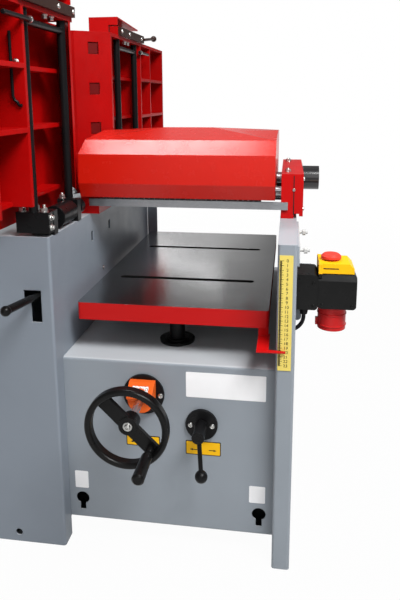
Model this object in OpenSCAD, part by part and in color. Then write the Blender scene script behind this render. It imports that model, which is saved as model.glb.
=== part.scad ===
// Combination planer thicknesser: thicknessing mode, planing tables folded up.
// X runs across the machine to the operator side, Y along the thicknessing feed, Z up from the floor.
// The origin is the middle of the floor bolt pattern; Y = 0 is the cutterblock axis.

/* [Body] */
// Depth of the body from front to rear
body_d = 892; // [880:1:920]
// Height of the drive housing and the side frame
body_h = 761; // [745:1:790]
// Width of the drive housing
housing_w = 250; // [240:1:300]
// Clear width between the drive housing and the side frame
bay_w = 490; // [486:1:510]
// Width of the side frame
post_w = 40; // [36:1:46]
// Thickness of the sheet steel
sheet_t = 3; // [2:0.5:4]
// Bend radius of the sheet steel
bend_r = 6; // [5:0.5:9]
// How far the cabinet front stands back from the housing front
panel_setback = 42; // [36:1:48]
// Height of the cabinet's lower edge above the floor
cabinet_z = 49; // [40:1:60]
// Gap between the cabinet top and the table's edge in the shown setting
cabinet_gap = 82; // [70:1:95]
// Inset of the floor bolts from the front and rear faces
floor_bolt_inset = 46; // [40:1:60]
// Radius of the floor bolt holes
floor_bolt_r = 7; // [5:0.5:8]

/* [Cutterblock] */
// Height of the planing surface above the housing top
plane_rise = 135; // [132:1:140]
// Radius of the cutting circle
cut_r = 55; // [52:0.5:57]
// Gap between the housing wall and the first knife edge
work_gap = 28; // [26:1:32]
// Gap between the last knife edge and the side frame
work_end = 52; // [46:1:60]
// How far the knives stand out of the cutterblock body
knife_out = 2; // [1:0.25:3]
// Radius of the cutterblock shaft
shaft_r = 14; // [12:0.5:15]
// Number of knives
knife_count = 4; // [2:1:4]
// Knife thickness
knife_t = 3; // [2.5:0.5:4]

/* [Cheeks] */
// How far the cheeks reach past the feed rollers
cheek_out = 71; // [65:1:90]
// How far the cheeks end below the planing surface
cheek_below = 24; // [20:1:28]
// Thickness of the right cheek
right_cheek_t = 31; // [28:1:34]
// Thickness of the right cheek's cover
cheek_cover_t = 23; // [18:1:28]
// Radius of the bearing cap
cap_r = 32; // [28:1:35]
// Length of the bearing cap
cap_l = 44; // [36:1:52]

/* [Feed] */
// Radius of the feed rollers
roller_r = 23; // [20:0.5:24]
// Gap between the cutting circle and the feed rollers, along the feed
roller_gap = 4; // [3:0.5:8]
// Radius of the feed roller journals
journal_r = 10; // [8:0.5:12]
// Radius of the roller sprockets
sprocket_r = 22; // [18:0.5:24]
// Number of anti-kickback fingers
finger_count = 30; // [20:1:32]

/* [Thicknessing table] */
// Gap between the table and the housing wall
table_gap_left = 28; // [22:1:34]
// Gap between the table and the side frame
table_gap_right = 18; // [14:1:24]
// Length of the table along the feed
table_l = 745; // [700:1:780]
// Depth of the table's edge
table_edge = 41; // [36:1:46]
// Opening between table and cutting circle in the shown setting
depth_set = 196; // [185:1:200]
// Radius of the guide columns
column_r = 19; // [16:0.5:21]
// Distance of each guide column from the table's end
column_inset = 101.5; // [90:0.5:130]
// Radius of the lifting screw
screw_r = 15; // [12:0.5:17]
// Width of the two table slots
slot_w = 20; // [14:1:24]

/* [Hood] */
// How far the hood laps over the drive housing
hood_lap = 10; // [8:1:12]
// Gap between the hood and the side frame
hood_gap = 13; // [10:1:18]
// How far the hood's lower edge lies below the planing surface
hood_below = 84; // [80:1:88]
// Thickness of the hood's sheet
hood_t = 2.5; // [2:0.25:3.5]
// Outside radius of the dust spigot
port_r = 60; // [50:1:62]
// Length of the dust spigot
port_l = 50; // [40:1:52]

/* [Handwheel] */
// Radius of the rim's centre line
wheel_r = 82; // [74:1:90]
// Radial thickness of the rim
rim_t = 14; // [12:0.5:16]
// Depth of the rim along the axis
rim_w = 25; // [22:0.5:28]
// Distance of the wheel plane from the cabinet front
wheel_out = 146; // [138:1:156]
// Radius of the handwheel shaft
wheel_shaft_r = 9; // [7:0.5:10]
// Length of the crank grip
crank_l = 106; // [90:1:116]

/* [Planing tables] */
// Distance of the table hinge from the housing wall
hinge_inset = 18; // [16:1:22]
// Height of the table hinge above the housing top
hinge_rise = 29; // [27:1:34]
// Distance of a table's nose from the cutterblock axis
nose_y = 50; // [46:1:54]
// Length of a planing table
plane_l = 782; // [760:1:820]
// Width of a planing table from the hinge to the operator edge
plane_reach = 456; // [440:1:470]
// Thickness of a planing table's top
plane_t = 16; // [12:1:20]
// How far the ribs end from the hinge axis
rib_gap = 2; // [1:0.5:4]
// Thickness of the ribs
rib_t = 10; // [8:1:13]
// Radius of the carrier arms
arm_r = 10; // [8:0.5:12]
// Radius of the hinge shafts
pin_r = 11; // [9:0.5:12]

/* [Switch] */
// Width of the junction box
junction_w = 46; // [40:1:52]
// Height of the junction box
junction_h = 80; // [74:1:90]
// Depth of both switch boxes
switch_d = 86; // [78:1:94]
// Width of the switch box
switch_w = 82; // [78:1:90]
// Height of the switch box
switch_h = 78; // [70:1:84]
// Radius of the power inlet
inlet_r = 31; // [28:1:33]
// Radius of the switch cable
cable_r = 4.5; // [3:0.5:5.5]

/* [Hidden] */
$fn = 48;

// Paint and material colours
paint_grey = "#7d8a94";
paint_red = "#c8161a";
iron = "#4b4e50";
steel = "#b4b8bc";
black = "#1c1c1e";
brass = "#b08d42";
yellow = "#f0c419";
orange = "#ea5b16";
brown = "#4a352b";

// Clearances and the overrun of cuts
run_gap = 0.05;
seat_gap = 0.3;
free_gap = 1;
over = 1;

// Main planes
x_l = -(housing_w + bay_w + post_w) / 2;
x_wall = x_l + housing_w;
x_post = x_wall + bay_w;
x_r = x_post + post_w;
y_f = -body_d / 2;
y_b = body_d / 2;
panel_y = y_f + panel_setback;
mid_x = (x_wall + x_post) / 2;
plane_z = body_h + plane_rise;
axis_z = plane_z - cut_r;
cut_z = axis_z - cut_r;
table_z = cut_z - depth_set;
cabinet_h = table_z - table_edge - cabinet_gap;
work_x0 = x_wall + work_gap;
work_x1 = x_post - work_end;
work_w = work_x1 - work_x0;
block_r = cut_r - knife_out;
roller_y = cut_r + roller_r + roller_gap;
cheek_d = 2 * (roller_y + roller_r + cheek_out);

// Housing
cover_t = 3;
cover_margin = 1;
louvre_w = 8;
louvre_h = 90;
louvre_pitch = 26;
louvre_count = 9;
louvre_z = 120;
flange_w = 35;
base_hole_in = 117;
base_hole_x = x_wall - base_hole_in;
base_hole_z = 25;
base_hole_r = 8.5;
base_cut_w = 45;
lever_slot_in = 26;
lever_slot_x1 = x_wall - lever_slot_in;
lever_slot_w = 40;
lever_leg_w = 24;
lever_slot_drop = 195;
lever_slot_z = body_h - lever_slot_drop;
lever_leg_h = 45;
lever_slot_h = 74;
wall_slot_w = 16;
wall_slot_h = 26;
wall_slot_y = [-168, -20];
wall_slot_drop = 61;
wall_slot_z = body_h - wall_slot_drop;

// Cabinet
key_x = 32;
key_rise = 54;
key_z = cabinet_z + key_rise;
key_r = 16;
key_slot_w = 14;
key_slot_h = 32;
wheel_drop = 78;
wheel_z = cabinet_h - wheel_drop;
worm_offset = 54;
wheel_x = mid_x - worm_offset;
clamp_in = 80;
clamp_x = mid_x + clamp_in;
clamp_drop = 144;
clamp_z = cabinet_h - clamp_drop;
clamp_stem_r = 10;
bush_wall = 9;
bush_r = column_r + bush_wall;

// Side plate and its studs
plate_t = 5;
plate_in = 6;
plate_y0 = y_f + plate_in;
plate_l = 250;
plate_h = 42;
plate_drop = 4;
stud_r = 3.5;
stud_l = 20;
stud_nut_r = 7;
stud_nut_l = 7;
stud_nut_gap = 8;
stud_y = [21, 187];

// Feet and floor bolts
foot_t = 5;
foot_l = 100;
bolt_x = x_r - post_w / 2;
bolt_y = y_b - floor_bolt_inset;

// Cheeks and bearings
cheek_z = body_h;
cheek_top = plane_z - cheek_below;
cheek_gap = 4;
left_cheek_x1 = work_x0 - cheek_gap;
sprocket_t = 5;
sprocket_pitch = 8;
sprocket_gap = 1;
sprocket_x = x_wall - sheet_t - sprocket_gap - sprocket_t - sprocket_pitch;
cheek_skin = 6;
left_cheek_x0 = sprocket_x - sprocket_gap - cheek_skin;
right_cheek_x0 = x_post + free_gap;
right_cheek_x1 = right_cheek_x0 + right_cheek_t;
cover_x1 = right_cheek_x1 + cheek_cover_t;
bearing_ring_t = 12;
bearing_r = shaft_r + bearing_ring_t;
bearing_w = 18;
cheek_wall = 22;
pocket_y = 122;
pocket_top = 78;
cap_wall = 4;
lug_l = 30;
lug_h = 24;
lug_w = 10;
lug_z = 33;

// Belt guard and cutterblock drive
pulley_w = 34;
pulley_r = 36;
pulley_gap = 8;
pulley_x1 = left_cheek_x0 - pulley_gap;
pulley_x0 = pulley_x1 - pulley_w;
guard_t = 2;
guard_gap = 5;
guard_y = 43;
guard_x0 = pulley_x0 - guard_gap;
belt_t = 4;
belt_w = 12;
belt_slot_y = 42;
motor_z = 210;
motor_r = 98;
motor_margin = 30;
motor_gap = 8;
motor_pulley_r = 44;
motor_shaft_r = 14;
motor_foot_w = 150;
motor_foot_t = 12;
fin_count = 28;
fin_w = 4;
fin_h = 8;
motor_x1 = pulley_x0 - motor_gap;
motor_x0 = x_l + cover_t + motor_margin;
motor_l = motor_x1 - motor_x0;

// Feed gearing
gear_y = 160;
gear_drop = 121;
gear_z = body_h - gear_drop;
gear_w = 100;
gear_h = 100;
gear_l = 62;
gear_gap = 6;
gear_shaft_r = 8;
gear_x1 = left_cheek_x0 - gear_gap;
gear_x0 = gear_x1 - gear_l;
chain_t = 4;
chain_gap = 0.6;
chain_slot_y0 = -70;
chain_slot_y1 = 150;
roller_drop = 1;
roller_z = cut_z - roller_drop + roller_r;
flute_count = 18;
flute_w = 3;
flute_d = 2;

// Anti-kickback fingers
finger_rod_r = 8;
finger_out = 47;
finger_y = -roller_y - roller_r - finger_out;
finger_drop = 11;
finger_z = axis_z - finger_drop;
finger_t = 8;
finger_ring = 7;
finger_tip_y = 14;
finger_tip_z = 44;
finger_tip_w = 8;

// Chip breaker and cut limiter
breaker_y0 = -57;
breaker_w = 15;
breaker_h = 10;
limiter_t = 6;
limiter_h = 19;
limiter_drop = 3;
limiter_lap = 17;

// Hood profile, as places along the feed and heights above the hood's lower edge
hood_x0 = x_wall - hood_lap;
hood_x1 = x_post - hood_gap;
hood_w = hood_x1 - hood_x0;
hood_z = plane_z - hood_below;
hood_front_out = 52;
hood_front = -cheek_d / 2 - hood_front_out;
hood_toe = 13;
hood_crease = 36;
hood_brow_in = 6;
hood_brow = 108;
hood_slope_in = 62;
hood_slope = 140;
hood_ridge = 156;
hood_rear_out = 11;
hood_rear = cheek_d / 2 + hood_rear_out;
hood_tail = 148;
hood_crown = 8;
hood_crown_shares = [0.36, 0.64];
hood_cheek_gap = 6;
port_in = 10;
port_x = mid_x - port_in;
port_margin = 4;
port_z = hood_tail - port_margin - port_r;
port_wall = 2.5;
hood_pin_out = 9;
hood_pin_drop = 6;
hood_pin_y = hood_rear + hood_pin_out;
hood_pin_z = hood_z - hood_pin_drop;
hood_pin_r = 6;
knuckle_r = 11;
knuckle_w = 40;
knuckle_inset = 56;
notch_gap = 8;

// Thicknessing table
table_x0 = x_wall + table_gap_left;
table_x1 = x_post - table_gap_right;
table_w = table_x1 - table_x0;
column_y = table_l / 2 - column_inset;
table_top_t = 20;
table_corner_r = 8;
table_wall = 12;
table_slot_in = 108;
table_slot_y = column_y - table_slot_in;
table_slot_end = 45;
table_rib_y = [-column_y, 0, column_y];
boss_wall = 15;
boss_r = column_r + boss_wall;
boss_drop = 8;
column_tail = 237;
column_low = cabinet_h - column_tail;
screw_tail = 295;
screw_low = cabinet_h - screw_tail;
flange_rim = 15;
flange_r = bush_r + flange_rim;
flange_t = 6;
flange_collar = 3;
bush_l = 88;

// Lifting gear
worm_r = 13.5;
worm_l = 50;
worm_gap = 0.5;
lift_r = worm_offset - worm_r - worm_gap;
lift_t = 20;
lift_hub_wall = 9;
lift_hub_r = screw_r + lift_hub_wall;
lift_hub_l = 60;
sleeve_wall = 10;
sleeve_z = 20;
bracket_y = 46;
bracket_t = 10;
bracket_w = 40;
bracket_drop = 20;

// Handwheel, counter and clamp
wheel_y = panel_y - wheel_out;
hub_r = 20;
hub_l = 34;
spoke_w = 30;
spoke_t = 9;
spoke_angle = 45;
crank_pin_r = 5;
crank_tip_r = 12.5;
crank_neck_r = 8;
crank_step = 20;
crank_swell = 30;
crank_round = 4;
crank_r = wheel_r - rim_t / 2 - crank_neck_r - free_gap;
hub_front = 2;
spoke_back = 11;
spoke_y = wheel_y + spoke_back;
rim_corner_r = 6;
counter_flange_r = 48;
counter_flange_t = 6;
counter_w = 58;
counter_up = 37;
counter_t = 42;
counter_slope = 20;
counter_back = 14;
counter_low_t = 30;
clamp_flange_r = 37;
clamp_flange_t = 7;
clamp_hub_r = 14;
clamp_hub_l = 54;
clamp_stem_in = 70;
ball_r = 14;
ball_drop = 79;
ball_out = 18;
ball_side = 10;
lever_r = 5;

// Feed lever
feed_pivot_at = [25, 116, 142];
feed_grip_at = [37, 26, 131];
feed_tip_at = [47, 122, 124];
feed_pivot = [x_wall - feed_pivot_at[0], y_f + feed_pivot_at[1], body_h - feed_pivot_at[2]];
feed_grip = [x_wall - feed_grip_at[0], y_f - feed_grip_at[1], body_h - feed_grip_at[2]];
feed_tip = [x_wall - feed_tip_at[0], y_f - feed_tip_at[1], body_h - feed_tip_at[2]];
feed_pin_r = 7;
feed_hub_r = 14;
feed_hub_w = 16;
feed_rod_r = 6;
feed_grip_r = 8;
feed_tip_r = 11;

// Depth scale and pointer
scale_w = 28;
scale_inset = 4;
scale_t = 1.5;
scale_low = 241;
scale_high = 11;
pointer_drop = 58;
pointer_t = 3;
pointer_w = 26;
pointer_side = 3;
pointer_seat = 2;
pointer_gap = 2;
pointer_nose = 6;
pointer_slant = 3;
pointer_z = table_z - pointer_drop;
scale_zero = pointer_z + depth_set;

// Planing tables, drawn for the infeed side
hinge_x = x_wall - hinge_inset;
hinge_z = body_h + hinge_rise;
surf_x = hinge_x - (plane_z - hinge_z);
plane_top = hinge_z + plane_reach;
plane_drop = 14;
plane_low = hinge_z - plane_drop;
plane_end = nose_y + plane_l;
plane_in = hinge_x - rib_gap;
rib_rise_low = 42;
rib_low = hinge_z + rib_rise_low;
rib_rise = [155, 283];
rib_low_depth = 70;
recess_out = 18;
recess_end = y_b + recess_out;
rib_pitch = 142;
rib_y = [recess_end, recess_end + rib_pitch];
cheek_relief = 8;
nose_slopes = [62, 158];
nose_wall = 14;
nose_pocket_w = 26;
nose_pocket_h = 34;
nose_pocket_d = 20;
nose_pocket_shares = [0.17, 0.41, 0.655, 0.9];
nose_pocket_in = 48;
lip_t = 7;
lip_l = 16;
lip_base = 6;
lip_pitch = 12.5;
lip_gap_w = 5;
arm_in = 18;
arm_x = hinge_x - arm_in;
arm_first = 17;
arm_last = 10;
pin_gap = 36;
pin_y0 = cheek_d / 2 + pin_gap;
arm_y = [pin_y0 + arm_first, y_b - arm_last];
arm_low = 6;
arm_head = 16;
cross_drop = 34;
cross_r = 8;
collar_r = 20;
collar_w = 24;
barrel_r = 26;
foot_w = 22;
foot_x = 55;
foot_drop = 21;
foot_rise = 25;
bracket_outer_in = 48;
bracket_outer_y = y_b - bracket_outer_in;
bracket_inner_out = 38;
bracket_inner_y = pin_y0 + bracket_inner_out;
bracket_inner_w = 22;
bracket_inner_x = 32;
hinge_bracket_h = 54;
bracket_lap = 20;
barrel_gap = 14;
barrel_y0 = bracket_inner_y + bracket_inner_w + barrel_gap;
barrel_y1 = bracket_outer_y - 2 * barrel_gap;
lock_box_out = 20;
lock_box_y = cheek_d / 2 + lock_box_out;
lock_box_l = 360;
lock_box_h = 54;
lock_box_in = 12;
lock_box_w = 62;
lock_arm_w = 91;
lock_arm_h = 24;
lock_sheet = 4;
lock_out = 34;
lock_y = cheek_d / 2 + lock_out;
lock_rise = 12;
lock_z = plane_top + lock_rise;
lock_t = 9;
lock_h = 24;
lock_l = 280;
lock_pin_r = 6;
lock_neck_r = 5;
lock_neck_l = 150;
lock_neck_rise = 18;
lock_knob_r = 11;
lock_pin_l = 12;
lock_boss = 14;

// Switch
bracket_sheet = 4;
switch_in = 109;
switch_y = y_f + switch_in;
junction_drop = 161;
junction_z = body_h - junction_drop;
switch_rise = 4;
switch_z = junction_z + switch_rise;
junction_x0 = x_r + free_gap;
switch_x0 = junction_x0 + junction_w;
switch_corner_r = 8;
lid_h = 22;
lid_t = 3;
lid_lap = 6;
lid_pivot = 3.5;
lid_ear = 8;
lid_slope = 10;
lid_pin_r = 3;
estop_r = 22;
estop_h = 10;
estop_share = 0.345;
estop_stem_r = 6;
estop_gap = 4;
start_r = 9;
start_h = 10;
start_share = 0.7;
start_stem_l = 12;
inlet_l = 56;
inlet_in = 34;
inlet_wall = 5;
inlet_depth = 42;
inlet_flange = 8;
inlet_flange_r = 3;
inlet_pin_r = 3;
inlet_pin_l = 24;
inlet_pin_pcd = 28;
inlet_pins = 5;
inlet_tab_w = 10;
inlet_tab_l = 16;
gland_in = 18;
gland_x = junction_x0 + gland_in;
gland_r = 13;
gland_tip_r = 8;
gland_l = 24;
cable_bend = 36;
cable_drop = 6;
cable_in = 4;
cable_hole_gap = 2.3;
cable_x = gland_x - cable_bend;
cable_z = junction_z - gland_l - cable_drop;
cable_turn = acos((x_r - sheet_t - cable_in - cable_x) / cable_bend);
cable_hole_z = cable_z - cable_bend * sin(acos((x_r - sheet_t / 2 - cable_x) / cable_bend));
cable_sides = 10;
cable_steps = 8;
switch_plate_z = 58;
switch_plate_w = 34;
switch_tab_w = 15;
switch_plate_r = 10;
switch_chamfer = 16;

// Basic shapes between planes
module block(a, b) {
    translate(a) cube(b - a);
}

module rod_x(x0, x1, y, z, r) {
    translate([x0, y, z]) rotate([0, 90, 0]) cylinder(h = x1 - x0, r = r);
}

module rod_y(y0, y1, x, z, r) {
    translate([x, y1, z]) rotate([90, 0, 0]) cylinder(h = y1 - y0, r = r);
}

module rod_z(z0, z1, x, y, r) {
    translate([x, y, z0]) cylinder(h = z1 - z0, r = r);
}

// A round bar between two points
module bar(p, q, r1, r2) {
    v = q - p;
    l = norm(v);
    translate(p)
        rotate([0, acos(v[2] / l), atan2(v[1], v[0])])
            cylinder(h = l, r1 = r1, r2 = r2);
}

// A profile in Y and Z, extruded along X
module along_x(x0, x1) {
    translate([x0, 0, 0]) rotate([90, 0, 90]) linear_extrude(x1 - x0) children();
}

// A profile in X and Z, extruded along Y
module along_y(y0, y1) {
    translate([0, y1, 0]) rotate([90, 0, 0]) linear_extrude(y1 - y0) children();
}

module round_rect(a, b, r) {
    translate([a[0] + r, a[1]]) square([b[0] - a[0] - 2 * r, b[1] - a[1]]);
    translate([a[0], a[1] + r]) square([b[0] - a[0], b[1] - a[1] - 2 * r]);
    for (x = [a[0] + r, b[0] - r], y = [a[1] + r, b[1] - r]) translate([x, y]) circle(r);
}

// Both ends of the machine: the shape drawn for the infeed side, mirrored for the outfeed side
module on_side(outfeed) {
    if (outfeed) mirror([0, 1, 0]) children();
    else children();
}

module drive_housing() color(paint_grey) {
    difference() {
        linear_extrude(body_h) round_rect([x_l + cover_t, y_f], [x_wall, y_b], bend_r);
        block([x_l - over, y_f + sheet_t, sheet_t], [x_wall - sheet_t, y_b - sheet_t, body_h - sheet_t]);
        lever_slot();
        block([x_wall - base_cut_w, panel_y, -over], [x_wall + over, -panel_y, cabinet_z]);
        rod_y(y_f - over, y_f + sheet_t + over, base_hole_x, base_hole_z, base_hole_r);
        for (y = [-bolt_y, bolt_y]) rod_z(-over, sheet_t + over, -bolt_x, y, floor_bolt_r);
        block([pulley_x0 - belt_t, -belt_slot_y, body_h - sheet_t - over],
              [pulley_x1 + belt_t, belt_slot_y, body_h + over]);
        block([sprocket_x - chain_t, chain_slot_y0, body_h - sheet_t - over],
              [x_wall - sheet_t, chain_slot_y1, body_h + over]);
        for (y = wall_slot_y)
            block([x_wall - sheet_t - over, y - wall_slot_w / 2, wall_slot_z - wall_slot_h / 2],
                  [x_wall + over, y + wall_slot_w / 2, wall_slot_z + wall_slot_h / 2]);
    }
    block([x_wall, y_b - sheet_t, cabinet_h], [x_wall + flange_w, y_b, body_h]);
    rod_x(feed_pivot[0] - feed_hub_w, x_wall - sheet_t, feed_pivot[1], feed_pivot[2], feed_pin_r);
}

// The stepped slot that the feed lever moves in
module lever_slot() {
    y0 = y_f - over;
    y1 = y_f + sheet_t + over;
    leg_top = lever_slot_z + lever_leg_h;
    block([lever_slot_x1 - lever_leg_w, y0, lever_slot_z], [lever_slot_x1, y1, leg_top]);
    block([lever_slot_x1 - lever_slot_w, y0, leg_top], [lever_slot_x1, y1, lever_slot_z + lever_slot_h]);
}

module drive_cover() color(paint_grey) difference() {
    block([x_l, y_f + cover_margin, cover_margin],
          [x_l + cover_t, y_b - cover_margin, body_h - cover_margin]);
    for (i = [0 : louvre_count - 1])
        translate([x_l, (i - (louvre_count - 1) / 2) * louvre_pitch, louvre_z])
            block([-over, -louvre_w / 2, 0], [cover_t + over, louvre_w / 2, louvre_h]);
}

module keyhole() {
    circle(key_r);
    translate([-key_slot_w / 2, -key_slot_h]) square([key_slot_w, key_slot_h]);
}

// Front, top and rear of the cabinet, folded from one sheet
module cabinet() color(paint_grey) difference() {
    along_x(x_wall, x_post) difference() {
        round_rect([panel_y, cabinet_z], [-panel_y, cabinet_h], bend_r);
        translate([panel_y + sheet_t, cabinet_z - over])
            square([-2 * (panel_y + sheet_t), cabinet_h - sheet_t - cabinet_z + over]);
    }
    for (x = [x_wall + key_x, x_post - key_x])
        translate([x, 0, key_z])
            along_y(panel_y - over, -panel_y + over) keyhole();
    rod_y(panel_y - over, panel_y + sheet_t + over, wheel_x, wheel_z, wheel_shaft_r + free_gap);
    rod_y(panel_y - over, panel_y + sheet_t + over, clamp_x, clamp_z, clamp_stem_r + free_gap);
    for (y = [-column_y, column_y])
        rod_z(cabinet_h - sheet_t - over, cabinet_h + over, mid_x, y, bush_r + seat_gap);
    rod_z(cabinet_h - sheet_t - over, cabinet_h + over, mid_x, 0, screw_r + free_gap);
}

module side_frame() color(paint_grey) {
    difference() {
        linear_extrude(body_h) round_rect([x_post, y_f], [x_r, y_b], bend_r);
        block([x_post + sheet_t, y_f + sheet_t, -over], [x_r - sheet_t, y_b - sheet_t, body_h - sheet_t]);
        rod_x(x_r - sheet_t - over, x_r + over, switch_y, cable_hole_z, cable_r + cable_hole_gap);
    }
    for (s = [-1, 1]) difference() {
        block([x_post + sheet_t, s > 0 ? y_b - sheet_t - foot_l : y_f + sheet_t, 0],
              [x_r - sheet_t, s > 0 ? y_b - sheet_t : y_f + sheet_t + foot_l, foot_t]);
        rod_z(-over, foot_t + over, bolt_x, s * bolt_y, floor_bolt_r);
    }
    side_plate();
    switch_plate();
}

// Plate behind the switch, with a narrow tab below that is rounded at its lower outer corner
module switch_plate() {
    z0 = junction_z - switch_plate_z;
    y0 = switch_y + switch_d / 2;
    along_y(y0, y0 + bracket_sheet) {
        translate([x_r, junction_z]) square([switch_plate_w, junction_h]);
        translate([x_r, z0 + switch_plate_r]) square([switch_tab_w, junction_z + over - z0 - switch_plate_r]);
        translate([x_r, z0]) square([switch_tab_w - switch_plate_r, junction_z - z0]);
        translate([x_r + switch_tab_w - switch_plate_r, z0 + switch_plate_r]) circle(switch_plate_r);
    }
}

// Welded plate with two studs on the outside of the side frame
module side_plate() {
    top = body_h - plate_drop;
    block([x_r, plate_y0, top - plate_h], [x_r + plate_t, plate_y0 + plate_l, top]);
    for (y = stud_y) {
        x1 = x_r + plate_t;
        rod_x(x1, x1 + stud_l, y_f + y, top - stud_nut_r - plate_drop, stud_r);
        translate([x1 + stud_nut_gap, y_f + y, top - stud_nut_r - plate_drop])
            rotate([0, 90, 0]) cylinder(h = stud_nut_l, r = stud_nut_r, $fn = 6);
    }
}

// Bores that both cheeks share
module cheek_bores(x0, x1) {
    for (y = [-roller_y, roller_y]) rod_x(x0, x1, y, roller_z, journal_r + run_gap);
    rod_x(x0, x1, finger_y, finger_z, finger_rod_r + run_gap);
}

// Rear lug for the hood's hinge rod
module hood_lug(x0, x1) {
    difference() {
        block([x0, cheek_d / 2, hood_pin_z - lug_h / 2], [x1, cheek_d / 2 + lug_l, hood_pin_z + lug_h / 2]);
        rod_x(x0 - over, x1 + over, hood_pin_y, hood_pin_z, hood_pin_r + run_gap);
    }
}

module right_cheek() color(paint_red) {
    difference() {
        block([right_cheek_x0, -cheek_d / 2, cheek_z], [right_cheek_x1, cheek_d / 2, cheek_top]);
        rod_x(right_cheek_x0 - over, right_cheek_x0 + bearing_w, 0, axis_z, bearing_r + run_gap);
        rod_x(right_cheek_x0 - over, right_cheek_x1 + over, 0, axis_z, shaft_r + free_gap);
        cheek_bores(right_cheek_x0 - over, right_cheek_x0 + bearing_w);
    }
    hood_lug(right_cheek_x0, right_cheek_x0 + lug_w);
}

module right_cheek_cover() color(paint_red) difference() {
    block([right_cheek_x1, -cheek_d / 2, cheek_z + cheek_skin], [cover_x1, cheek_d / 2, cheek_top]);
    rod_x(right_cheek_x1 - over, right_cheek_x1 + cheek_skin, 0, axis_z, shaft_r + free_gap);
    block([right_cheek_x1 - over, -cheek_d / 2 - over, cheek_z],
          [x_r + plate_t + free_gap, cheek_d / 2 + over, cheek_z + 2 * cheek_skin]);
}

module left_cheek() color(paint_red) {
    pocket_x1 = left_cheek_x1 - cheek_wall;
    difference() {
        block([left_cheek_x0, -cheek_d / 2, cheek_z], [left_cheek_x1, cheek_d / 2, cheek_top]);
        block([left_cheek_x0 + cheek_skin, -pocket_y, cheek_z - over],
              [pocket_x1, chain_slot_y1, cheek_z + pocket_top]);
        rod_x(left_cheek_x0 - over, left_cheek_x1 + over, 0, axis_z, shaft_r + free_gap);
        rod_x(left_cheek_x1 - bearing_w, left_cheek_x1 + over, 0, axis_z, bearing_r + run_gap);
        cheek_bores(pocket_x1 - over, left_cheek_x1 + over);
    }
    hood_lug(left_cheek_x0, left_cheek_x0 + lug_w);
}

module bearing_cap() color(black) difference() {
    rod_x(cover_x1, cover_x1 + cap_l, 0, axis_z, cap_r);
    rod_x(cover_x1 + cap_wall, cover_x1 + cap_l + over, 0, axis_z, cap_r - cap_wall);
}

module bearing_ring(x0) {
    difference() {
        rod_x(x0, x0 + bearing_w, 0, axis_z, bearing_r);
        rod_x(x0 - over, x0 + bearing_w + over, 0, axis_z, shaft_r + run_gap);
    }
}

module cutter_bearings() color(steel) {
    bearing_ring(left_cheek_x1 - bearing_w);
    bearing_ring(right_cheek_x0);
}

module guard_profile(r, z0) {
    translate([-r, z0]) square([2 * r, axis_z - z0]);
    translate([0, axis_z]) circle(r);
}

module belt_guard() color(paint_red) difference() {
    along_x(guard_x0, left_cheek_x0) guard_profile(guard_y, body_h);
    along_x(guard_x0 + guard_t, left_cheek_x0 - guard_t) guard_profile(guard_y - guard_t, body_h - over);
    rod_x(left_cheek_x0 - guard_t - over, left_cheek_x0 + over, 0, axis_z, shaft_r + free_gap);
}

module motor() color(black) {
    difference() {
        rod_x(motor_x0, motor_x1, 0, motor_z, motor_r);
        for (i = [0 : fin_count - 1])
            translate([0, 0, motor_z]) rotate([i * 360 / fin_count, 0, 0])
                block([motor_x0 + motor_gap, -fin_w / 2, motor_r - fin_h],
                      [motor_x1 - motor_gap, fin_w / 2, motor_r + over]);
        rod_x(motor_x1 - motor_l / 3, motor_x1 + over, 0, motor_z, motor_shaft_r + run_gap);
    }
    block([motor_x0 + motor_gap, -motor_foot_w / 2, sheet_t],
          [motor_x1 - motor_gap, motor_foot_w / 2, sheet_t + motor_foot_t]);
    for (y = [-1, 1])
        block([motor_x0 + 2 * motor_gap, y * motor_foot_w / 3 - motor_foot_t / 2, sheet_t + motor_foot_t],
              [motor_x1 - 2 * motor_gap, y * motor_foot_w / 3 + motor_foot_t / 2, motor_z - motor_r / 2]);
}

// A belt or chain loop round two wheels in Y and Z
module loop_profile(p, q, r1, r2, t) {
    difference() {
        hull() {
            translate(p) circle(r1 + t, $fn = 32);
            translate(q) circle(r2 + t, $fn = 32);
        }
        hull() {
            translate(p) circle(r1, $fn = 32);
            translate(q) circle(r2, $fn = 32);
        }
    }
}

module drive_belts() color(black) {
    for (i = [0, 1]) {
        x0 = pulley_x0 + pulley_w * (1 + 2 * i) / 4 - belt_w / 2;
        along_x(x0, x0 + belt_w)
            loop_profile([0, axis_z], [0, motor_z], pulley_r - belt_t + chain_gap,
                         motor_pulley_r - belt_t + chain_gap, belt_t);
    }
}

module feed_gearbox() color(iron) {
    difference() {
        block([gear_x0, gear_y - gear_w / 2, gear_z - gear_h / 2],
              [gear_x1, gear_y + gear_w / 2, gear_z + gear_h / 2]);
        rod_x(gear_x1 - gear_l / 2, gear_x1 + over, gear_y, gear_z, gear_shaft_r + run_gap);
    }
    block([gear_x0, gear_y + gear_w / 2, gear_z - gear_h / 4], [gear_x1, y_b - sheet_t, gear_z + gear_h / 4]);
}

module feed_chains() color(steel) {
    for (i = [0, 1]) {
        x0 = sprocket_x + i * sprocket_pitch;
        along_x(x0, x0 + sprocket_t)
            loop_profile([i == 0 ? -roller_y : roller_y, roller_z], [gear_y, gear_z],
                         sprocket_r + chain_gap, sprocket_r + chain_gap, chain_t);
    }
}

module feed_sprockets() color(steel) {
    for (i = [0, 1]) {
        x0 = sprocket_x + i * sprocket_pitch;
        rod_x(x0, x0 + sprocket_t, gear_y, gear_z, sprocket_r);
    }
    rod_x(gear_x1 - gear_l / 2, sprocket_x + sprocket_pitch, gear_y, gear_z, gear_shaft_r);
}

module kickback_rod() color(steel)
    rod_x(left_cheek_x1 - cheek_wall, right_cheek_x0 + bearing_w, finger_y, finger_z, finger_rod_r);

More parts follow.
